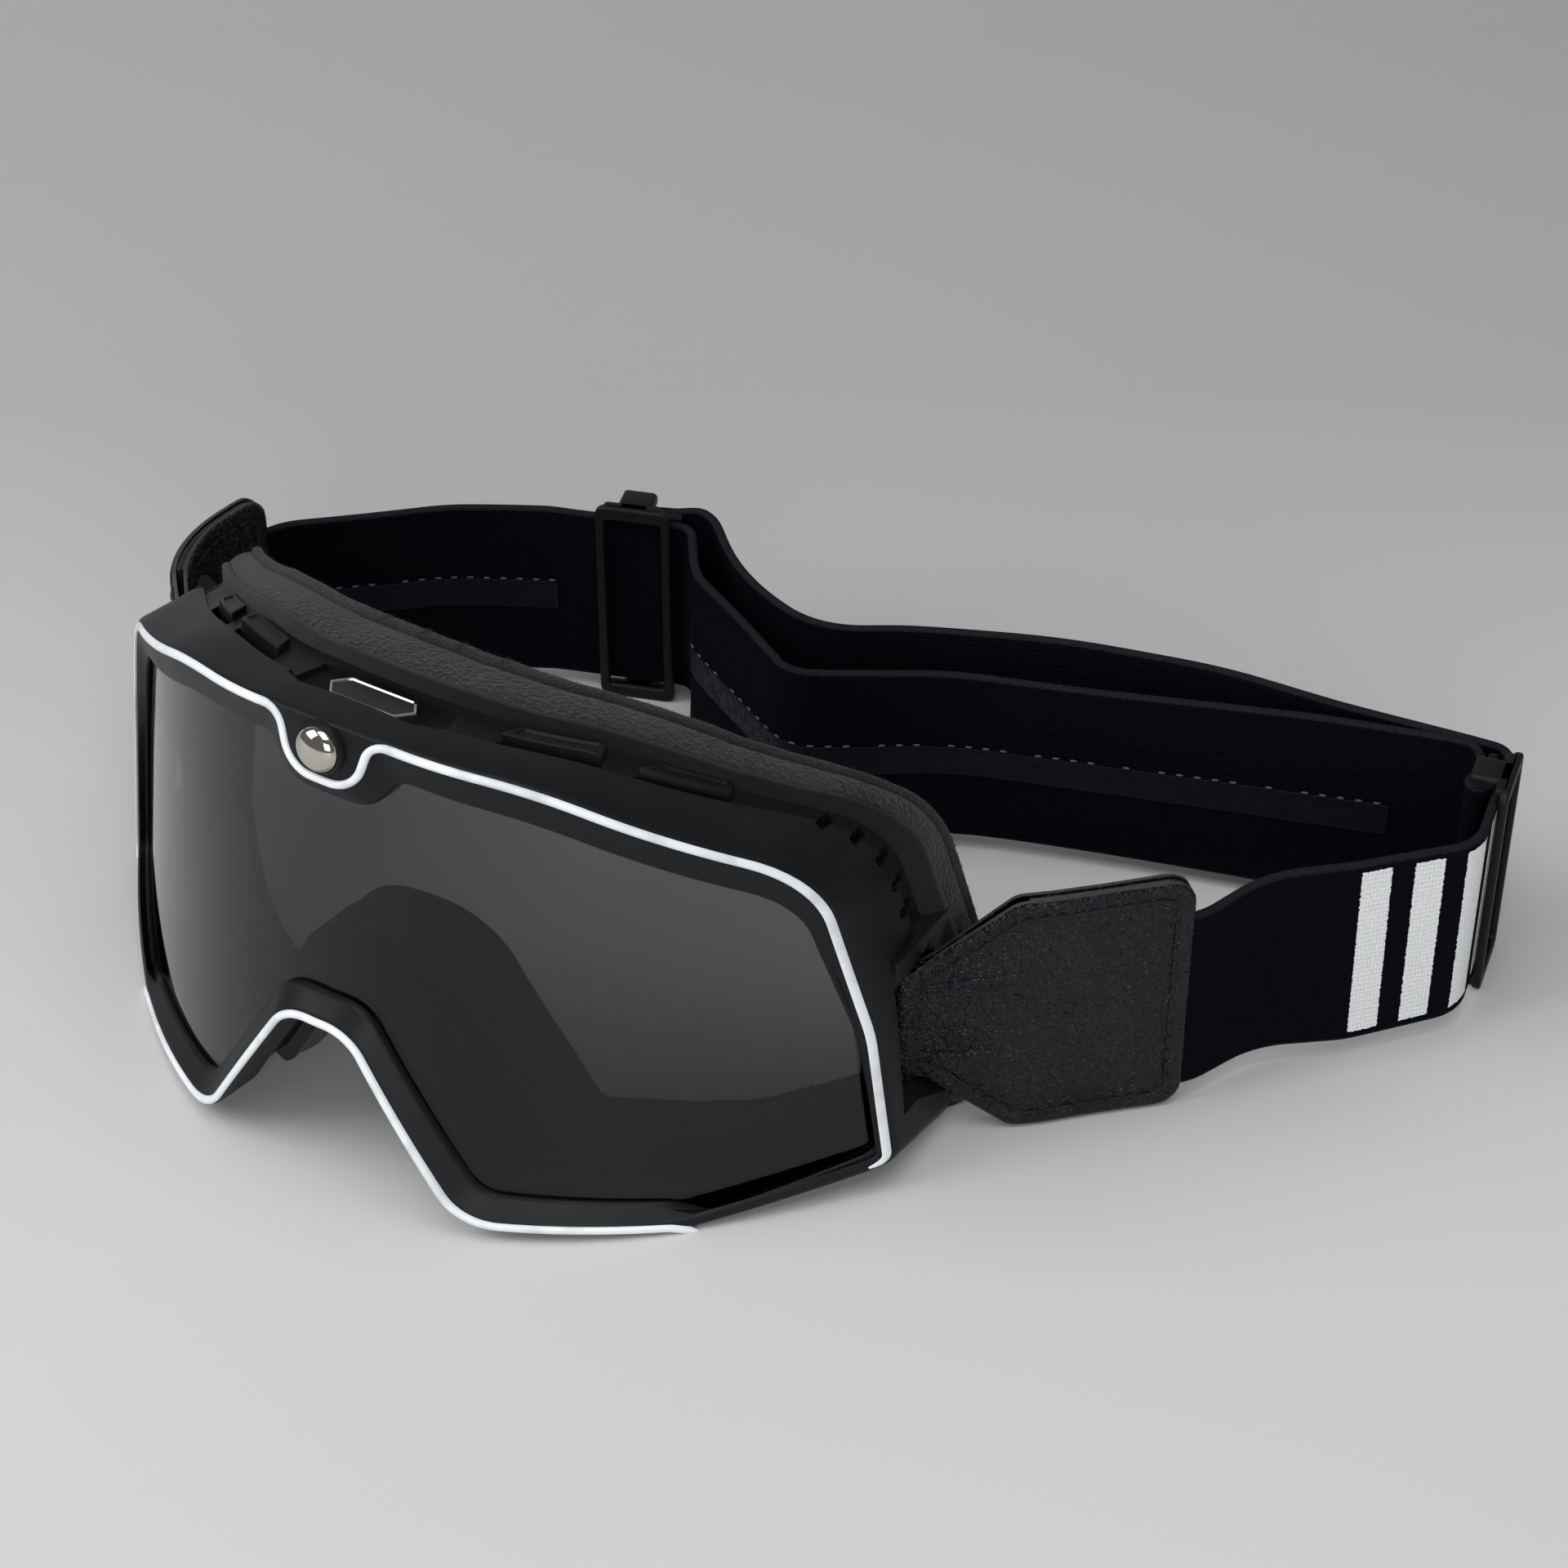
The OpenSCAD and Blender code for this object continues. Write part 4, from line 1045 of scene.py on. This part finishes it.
def ribbon(route, low, high, z0, z1, round_r=0.5, selvage=0.0, rows=14):
    """A band over a route, from low to high of its middle: points, faces and UVs in metres."""
    section = []
    mid, half = (z0 + z1) / 2, (z1 - z0) / 2
    for k in range(rows + 1):
        v = -1 + 2 * k / rows
        v = math.sin(v * math.pi / 2)
        section.append((high, v * (half - round_r)))
    arc = [(math.cos(math.radians(a)), math.sin(math.radians(a))) for a in (30, 60, 90)]
    centre, thick = (low + high) / 2, (high - low) / 2
    top = [(centre + thick * c, half - round_r + round_r * s) for c, s in arc]
    top += [(centre - thick * c, half - round_r + round_r * s) for c, s in reversed(arc[:2])]
    section += top
    section += [(low, v) for _, v in reversed(section[:rows + 1])]
    section += [(2 * centre - o, -v) for o, v in top]
    for k, (o, v) in enumerate(section):
        if selvage and abs(v) > half - 1.6:
            section[k] = (centre + (o - centre) * (1 + selvage / thick), v)
    along = distances(route)
    rings, uvs = [], []
    for p, n, s in zip(route, lefts(route), along):
        line = []
        for o, v in section:
            lean = sway(p, v)
            line.append(Vector((p[0] + n[0] * (o + lean), p[1] + n[1] * (o + lean), mid + v)) * MM)
            uvs.append((s * MM, v * MM))
        rings.append(line)
    points, faces = capped(rings)
    return points, faces, uvs, section


def strap_piece(name, route, material, slot, hides, face_material=None, face_side=0, **shape):
    """A band as a piece, with its UVs; one face can have a material of its own."""
    points, faces, uvs, section = ribbon(route, **shape)
    mesh = new_mesh(name, points, faces)
    layer = mesh.uv_layers.new(name="UVMap")
    for loop in mesh.loops:
        layer.data[loop.index].uv = uvs[loop.vertex_index]
    mesh.materials.append(material)
    if face_material:
        mesh.materials.append(face_material)
        n = len(section)
        for face in mesh.polygons:
            offs = [section[v % n][0] for v in face.vertices]
            if all(o * face_side > shape["high"] * 0.5 for o in offs):
                face.material_index = 1
    face_outwards(mesh)
    piece = new_object(name, mesh)
    shade(piece, 50)
    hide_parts(*hides)
    return piece


def metres(p, z=BAND_Z):
    return (p[0] * MM, p[1] * MM, z * MM)


def along_of(route, p):
    """How far along a route its nearest point to p lies."""
    along = distances(route)
    return min(zip(along, route), key=lambda pair: math.dist(pair[1], p))[0]


BEND_START, BEND_END = TAB_L + 1, TAB_L + 22
SLIDE_BEND_L = 62


def follow_tab(piece, side):
    """Bakes a band piece's placement into its mesh; the points behind the tab where it would bend
    are found but not used, so it does not bend.
    """
    rear, loose = [point_at(FRONT_ROUTES[side], s)[0] for s in (BEND_START, BEND_END)]
    metres(rear)
    metres(loose)
    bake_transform(piece)


def build_bands():
    shape = dict(low=-BAND_T / 2, high=BAND_T / 2, z0=BAND_Z - BAND_W / 2, z1=BAND_Z + BAND_W / 2,
                 selvage=0.12)
    start = 22
    first = along_of(FRONT_ROUTES["right"], (HALF_W + 53.1, 95.8)) - start
    striped = band_material("striped_elastic", (first, 6.1, 10.8, 4, BAND_W / 2 - 1.9))
    for side in ("left", "right"):
        route = FRONT_ROUTES[side]
        cut_at = [i for i, s in enumerate(distances(route)) if s >= start][0]
        printed = striped if side == "right" else None
        piece = strap_piece(f"{side}_strap_front", route[cut_at:], ELASTIC, "band",
                            [f"{side}_band_front"], printed, -1, **shape)
        follow_tab(piece, side)
        back = strap_piece(f"{side}_strap_back", BACK_ROUTES[side], ELASTIC, "band",
                           [f"{side}_band", f"{side}_band_end"], **shape)
        end = in_slider(OTHER[side], 12, BAR_OFF)
        route = BACK_ROUTES[side]
        before = point_at(route, distances(route)[-1] - SLIDE_BEND_L)[0]
        metres(before)
        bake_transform(back)


def build_grips():
    z = BAND_Z - 1
    sides = {"left": -1, "right": 1}
    for side, s in sides.items():
        route = FRONT_ROUTES[side]
        along = distances(route)
        line = [p for p, d in zip(route, along) if TAB_L + 8 < d < along[-1] - SLIDER_L / 2 - 9]
        for piece in grip(f"{side}_grip", line, s, z, [f"{side}_grip_strip"]):
            follow_tab(piece, side)
    route = BACK_ROUTES["left"]
    along = distances(route)
    line = [p for p, d in zip(route, along) if 26 < d < along[-1] - 42]
    for piece in grip("back_grip", line, -1, z, ["back_grip_strip"]):
        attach(piece, "goggles")


def grip(name, line, side, z, hides):
    low, high = sorted((side * (BAND_T / 2 - 0.1), side * (BAND_T / 2 + GRIP_T - 0.15)))
    piece = strap_piece(name, line, SILICONE, "grip", hides, low=low, high=high,
                        z0=z - GRIP_W / 2, z1=z + GRIP_W / 2, round_r=0.3, rows=6)
    parts = []
    for k, (p, n) in enumerate(zip(line, lefts(line))):
        if k % 3 or not 0 < k < len(line) - 1 or noise.noise(Vector((k * 0.37, side, 0))) > 0.25:
            continue
        lean = sway(p, z + GRIP_W / 2 - BAND_Z)
        at = plus(p, scaled(n, side * (BAND_T / 2 + GRIP_T - 0.1) + lean))
        parts.append(stitch(at, (n[1], -n[0]), z + GRIP_W / 2 + 0.5, 1.4, 0.22))
    sewn = new_piece(f"{name}_stitches", joined(parts), PALE_THREAD, None)
    return piece, sewn


def stitch(p, u, z, length, r, rise=0.0):
    """A small raised stitch along u, at a plane point and height; rise tilts it upwards."""
    rings = []
    side = (-u[1], u[0])
    for t, k in ((-1, 0.25), (-0.8, 0.75), (-0.3, 1), (0.3, 1), (0.8, 0.75), (1, 0.25)):
        run = t * length / 2
        loop = []
        for a in range(6):
            c, s = math.cos(a * math.pi / 3) * r * k, math.sin(a * math.pi / 3) * r * k
            ahead = run * math.cos(rise) - s * math.sin(rise)
            loop.append(Vector((p[0] + u[0] * ahead + side[0] * c,
                                p[1] + u[1] * ahead + side[1] * c,
                                z + run * math.sin(rise) + s * math.cos(rise))) * MM)
        rings.append(loop)
    return capped(rings)


# ---- Leather tabs ----
def tab_corners():
    """A tab's outline: distance from its pivot, and height from its middle."""
    half, nose = TAB_H / 2, TAB_NOSE_H / 2
    return [[0, -nose, 0.5], [NOSE_L, -nose, 2], [SHOULDER_L, -half, 5], [TAB_L, -half, 5],
            [TAB_L, half, 5], [SHOULDER_L, half, 5], [NOSE_L, nose, 2], [0, nose, 0.5]]


STITCH_IN, STITCH_STEP, STITCH_L, STITCH_R = 3.4, 3.1, 2.5, 0.42
LAYER_NEAR = BAND_T / 2 * 0.9


def leather_swell(d, t):
    """The thickness of a layer at a distance d in from its edge."""
    groove = 0.22 * math.exp(-((d - STITCH_IN) / 0.5) ** 2)
    return t * min(1, 0.55 + 0.45 * min(1, d / 0.5)) - groove


def softness(s, h, layer):
    """How far the leather of a layer stands off its flat face at a place of the outline."""
    return noise.noise(Vector((s * 0.08, h * 0.07, layer))) * 0.25


def tab_layer(name, side, near, far, hides):
    """One layer of leather, from offset near (against the band) to far (its face)."""
    route = FRONT_ROUTES[side]
    corners = tab_corners()
    steps = (0, 0.12, 0.4, 0.9, 1.8, 2.6, 3.0, 3.4, 3.8, 4.3, 5.2)
    base = ring(inset(corners, steps[-1]), 5, 12)
    rings = [(ring(inset(corners, d), 5, 12), d) for d in steps]
    spine = [(min(max(s, 14), TAB_L - 14), 0) for s, h in base]
    for k in range(1, 15):
        t = k / 14
        rings.append(([(a[0] + (b[0] - a[0]) * t, a[1] + (b[1] - a[1]) * t)
                       for a, b in zip(base, spine)], 9))

    def placed(outline, d, face):
        out = []
        for s, h in outline:
            p, n = point_at(route, s)
            thick = leather_swell(d, abs(far - near)) * math.copysign(1, far - near)
            closed = near * closing(s) + math.copysign(eye_swell(s), near)
            off = closed + thick if face else closed + (far - near) * 0.02
            soft = softness(s, h, near) * min(1, s / 20)
            out.append(Vector((*plus(p, scaled(n, off + soft)), TAB_Z + h)) * MM)
        return out

    rows = [placed(o, d, True) for o, d in reversed(rings)]
    rows.append(placed(rings[0][0], 0, False))
    rows += [placed(o, d, False) for o, d in rings[2::3]]
    points, faces = lofted(rows)
    n = len(rows[0])
    faces.append(tuple(range(len(points) - n, len(points))))
    piece = new_piece(name, (points, faces), LEATHER, f"{side}_tab", hides, sharp=70)
    piece.data.materials.append(EDGE)
    for face in piece.data.polygons:
        out = point_at(route, along_of(route, (face.center.x / MM, face.center.y / MM)))[1]
        if abs(face.normal.normalized().dot(Vector((*out, 0)))) < 0.45:
            face.material_index = 1


def closing(s):
    """How far apart the two layers are, as a share of the band's room between them."""
    return min(1, 0.15 + max(0, s - 5) * 0.057)


def eye_swell(s):
    """How much further apart they are where they go round the bar."""
    return 1.55 * max(0, 1 - s / 7) ** 1.5


def tab_stitches(name, side, off):
    """Two-sided seam round a tab, a few millimetres in from its edge."""
    route = FRONT_ROUTES[side]
    line = ring(inset(tab_corners(), STITCH_IN), 8, 8)
    line = resampled(line + [line[0]], STITCH_STEP)
    parts = []
    for a, b in zip(line, line[1:]):
        s, h = (a[0] + b[0]) / 2, (a[1] + b[1]) / 2
        p, n = point_at(route, s)
        near = math.copysign(LAYER_NEAR, off)
        off_here = off - near * (1 - closing(s)) + math.copysign(eye_swell(s), off)
        rise = math.atan2(b[1] - a[1], b[0] - a[0])
        soft = softness(s, h, math.copysign(BAND_T / 2, off))
        at = plus(p, scaled(n, off_here + soft))
        parts.append(stitch(at, (n[1], -n[0]), TAB_Z + h, STITCH_L, STITCH_R, rise))
    new_piece(name, joined(parts), BLACK_THREAD, f"{side}_tab")


def tab_eye(side):
    """The loop of leather round the strap bar."""
    r0, r1, h = BAR_D / 2 + 0.15, BAR_D / 2 + 0.15 + LEATHER_T, TAB_NOSE_H / 2
    x = PIVOT_X if side == "right" else -PIVOT_X
    section = ((r0, -h), (r1 - 0.3, -h), (r1, -h + 0.3), (r1, h - 0.3), (r1 - 0.3, h), (r0, h))
    rings = [[Vector((x + r * math.cos(a), PIVOT_Y + r * math.sin(a), TAB_Z + z)) * MM
              for r, z in section] for a in [2 * math.pi * k / 32 for k in range(32)]]
    solid = lofted(rings, closed_along=True)
    new_piece(f"{side}_tab_eye", solid, LEATHER, f"{side}_tab")


def build_tabs():
    for side, out in (("left", 1), ("right", -1)):
        far = BAND_T / 2 + LEATHER_T
        tab_layer(f"{side}_tab_face", side, out * LAYER_NEAR, out * far, [f"{side}_tab_outer"])
        tab_layer(f"{side}_tab_lining", side, -out * LAYER_NEAR, -out * far, [f"{side}_tab_inner"])
        for layer, way in (("face", out), ("lining", -out)):
            tab_stitches(f"{side}_{layer}_seam", side, way * (far - 0.2))
        tab_eye(side)
        filler(side)


def filler(side):
    """The cut edge of the inner ply between the two leather layers."""
    start = SHOULDER_L + 1.5
    corners = inset([[start, -TAB_H / 2, 1], *tab_corners()[3:5], [start, TAB_H / 2, 1]], 0.7)
    route = FRONT_ROUTES[side]
    rings = []
    for off in (-BAND_T / 2, -0.3, 0, 0.3, BAND_T / 2):
        rim = ring(inset(corners, 0.5 if off == 0 else 0), 5, 8)
        places = [(*point_at(route, s), h) for s, h in rim]
        rings.append([Vector((*plus(p, scaled(n, off)), TAB_Z + h)) * MM for p, n, h in places])
    new_piece(f"{side}_tab_ply", capped(rings), EDGE, f"{side}_tab", sharp=60)


# ---- Sliders ----
def build_slider(side):
    """A rounded ladder-lock: a front loop of two bars, thick rails and a round centre bar."""
    h = BAND_W + 1 + 2 * RAIL_H
    mid = TABLE_Z + h / 2
    face, bar_face = -BAND_T / 2 - RUN_GAP - SLIDER_BAR_T, -BAND_T / 2 - RUN_GAP
    rear = BAR_OFF + BAR_R + 0.4

    def place(a, off, b):
        p = in_slider(side, a, off)
        return Vector((p[0], p[1], mid + b)) * MM

    def box(x0, x1, n0, n1, z0, z1, r):
        shape = [[x0, z0, r], [x1, z0, r], [x1, z1, r], [x0, z1, r]]
        rows = ((n0, r * 0.5), (n0 + 0.12, 0.2), (n0 + 0.4, 0),
                (n1 - 0.4, 0), (n1 - 0.12, 0.2), (n1, r * 0.5))
        return capped([[place(a, n, b) for a, b in ring(inset(shape, d), 4, 3)] for n, d in rows])

    def loop(x, z, hole_x, hole_z, n0, n1):
        outside, inside = [[[-w, -h, r], [w, -h, r], [w, h, r], [-w, h, r]]
                           for w, h, r in ((x, z, 2.2), (hole_x, hole_z, 0.8))]
        rows = [(outside, 0.5, n0), (outside, 0.15, n0 + 0.15), (outside, 0, n0 + 0.5),
                (outside, 0, n1 - 0.5), (outside, 0.15, n1 - 0.15), (outside, 0.5, n1),
                (inside, -0.3, n1), (inside, 0, n1 - 0.3), (inside, 0, n0 + 0.3),
                (inside, -0.3, n0)]
        rings = [[place(a, n, b) for a, b in ring(inset(s, d), 5, 4)] for s, d, n in rows]
        return lofted(rings, closed_along=True)

    half = SLIDER_L / 2
    parts = [loop(half, h / 2, half - 2.1, BAND_W / 2 + 0.5, face, bar_face)]
    for z0 in (-h / 2, h / 2 - RAIL_H):
        parts.append(box(-half + 1.5, half - 1.5, face + 0.6, bar_face + 1.2, z0, z0 + RAIL_H, 1))
        parts.append(box(-BAR_R - 2.6, BAR_R + 2.6, face + 0.6, rear, z0, z0 + RAIL_H, 1))
    centre = [[place(BAR_R * math.cos(a), BAR_OFF + BAR_R * math.sin(a), z)
               for a in [2 * math.pi * k / 24 for k in range(24)]] for z in (-h / 2 + 1, h / 2 - 1)]
    parts.append(capped(centre))
    new_piece(f"{side}_slider_body", joined(parts), PLASTIC, f"{side}_slider",
              [f"{side}_slider"], sharp=45)


# ---- Stage ----
def build_stage():
    """A pale floor that curves up into a backdrop, with painted shade darkening it away from the
    camera; soft lights and the camera.
    """
    z = TABLE_Z * MM
    profile = [(-2.2, 0), (0.45, 0)]
    profile += [(0.45 + 0.6 * math.sin(a), 0.6 - 0.6 * math.cos(a))
                for a in [math.radians(k * 7.5) for k in range(1, 13)]]
    profile.append((1.05, 2.5))
    camera_at = Vector((0.33265, -0.41478, 0.43473))
    target = Vector((0.06558, 0.01726, 0.04521))
    heading = Vector((target.x - camera_at.x, target.y - camera_at.y, 0)).normalized()
    across = Vector((heading.y, -heading.x, 0))
    rows = []
    for run, rise in profile:
        base = heading * run + Vector((0, 0, z + rise))
        rows.append([base + across * w for w in (-3, 3)])
    mesh = new_mesh("floor", *lofted(rows, closed_around=False))
    floor = new_object("floor", mesh)
    mesh.shade_smooth()
    look = Look("pale_floor")
    source = look.nodes.new("ShaderNodeTexCoord")
    away = look.nodes.new("ShaderNodeVectorMath")
    away.operation = "DOT_PRODUCT"
    away.inputs[1].default_value = heading
    look.link(source.outputs["Object"], away.inputs[0])
    # Painted shade: the floor's colour darkens from 0.60 to 0.43 with distance along the heading,
    # standing in for the light falling off.
    look.colour(away.outputs["Value"], -0.05, 0.25, (0.60, 0.605, 0.60), (0.43, 0.432, 0.428))
    look.plain(roughness=0.6, specular=0.2)
    mesh.materials.append(look.made)

    def area(name, place, aim, size, power):
        light = bpy.data.lights.new(name, "AREA")
        light.shape, light.size, light.size_y, light.energy = "RECTANGLE", size[0], size[1], power
        lamp = new_object(name, light)
        lamp.location = place
        lamp.rotation_mode = "QUATERNION"
        lamp.rotation_quaternion = (Vector(aim) - Vector(place)).to_track_quat("-Z", "Y")

    area("key", (-0.9, -0.75, 1.0), (0, -0.05, 0), (1.0, 1.0), 14)
    area("top", (0.25, -0.25, 1.3), (0.1, -0.15, 0), (1.1, 1.1), 9)
    area("fill", (0.9, -1.2, 0.55), (0.05, 0.0, 0), (0.9, 0.7), 10)

    world = bpy.data.worlds.new("studio")
    bpy.context.scene.world = world
    world.use_nodes = True
    world.node_tree.nodes["Background"].inputs["Color"].default_value = (0.9, 0.93, 1, 1)
    world.node_tree.nodes["Background"].inputs["Strength"].default_value = 0.18

    lens = bpy.data.cameras.new("camera")
    lens.sensor_width, lens.lens = 36, 83.95
    camera = new_object("camera", lens)
    camera.location = camera_at
    camera.rotation_mode = "QUATERNION"
    camera.rotation_quaternion = (target - camera_at).to_track_quat("-Z", "Y")
    bpy.context.scene.camera = camera
    bpy.context.scene.view_settings.view_transform = "Standard"


build_stage()
build_frame()
build_lens()
build_piping()
build_stud()
build_plate()
build_foam()
build_tabs()
build_bands()
build_grips()
for slider_side in ("left", "right"):
    build_slider(slider_side)
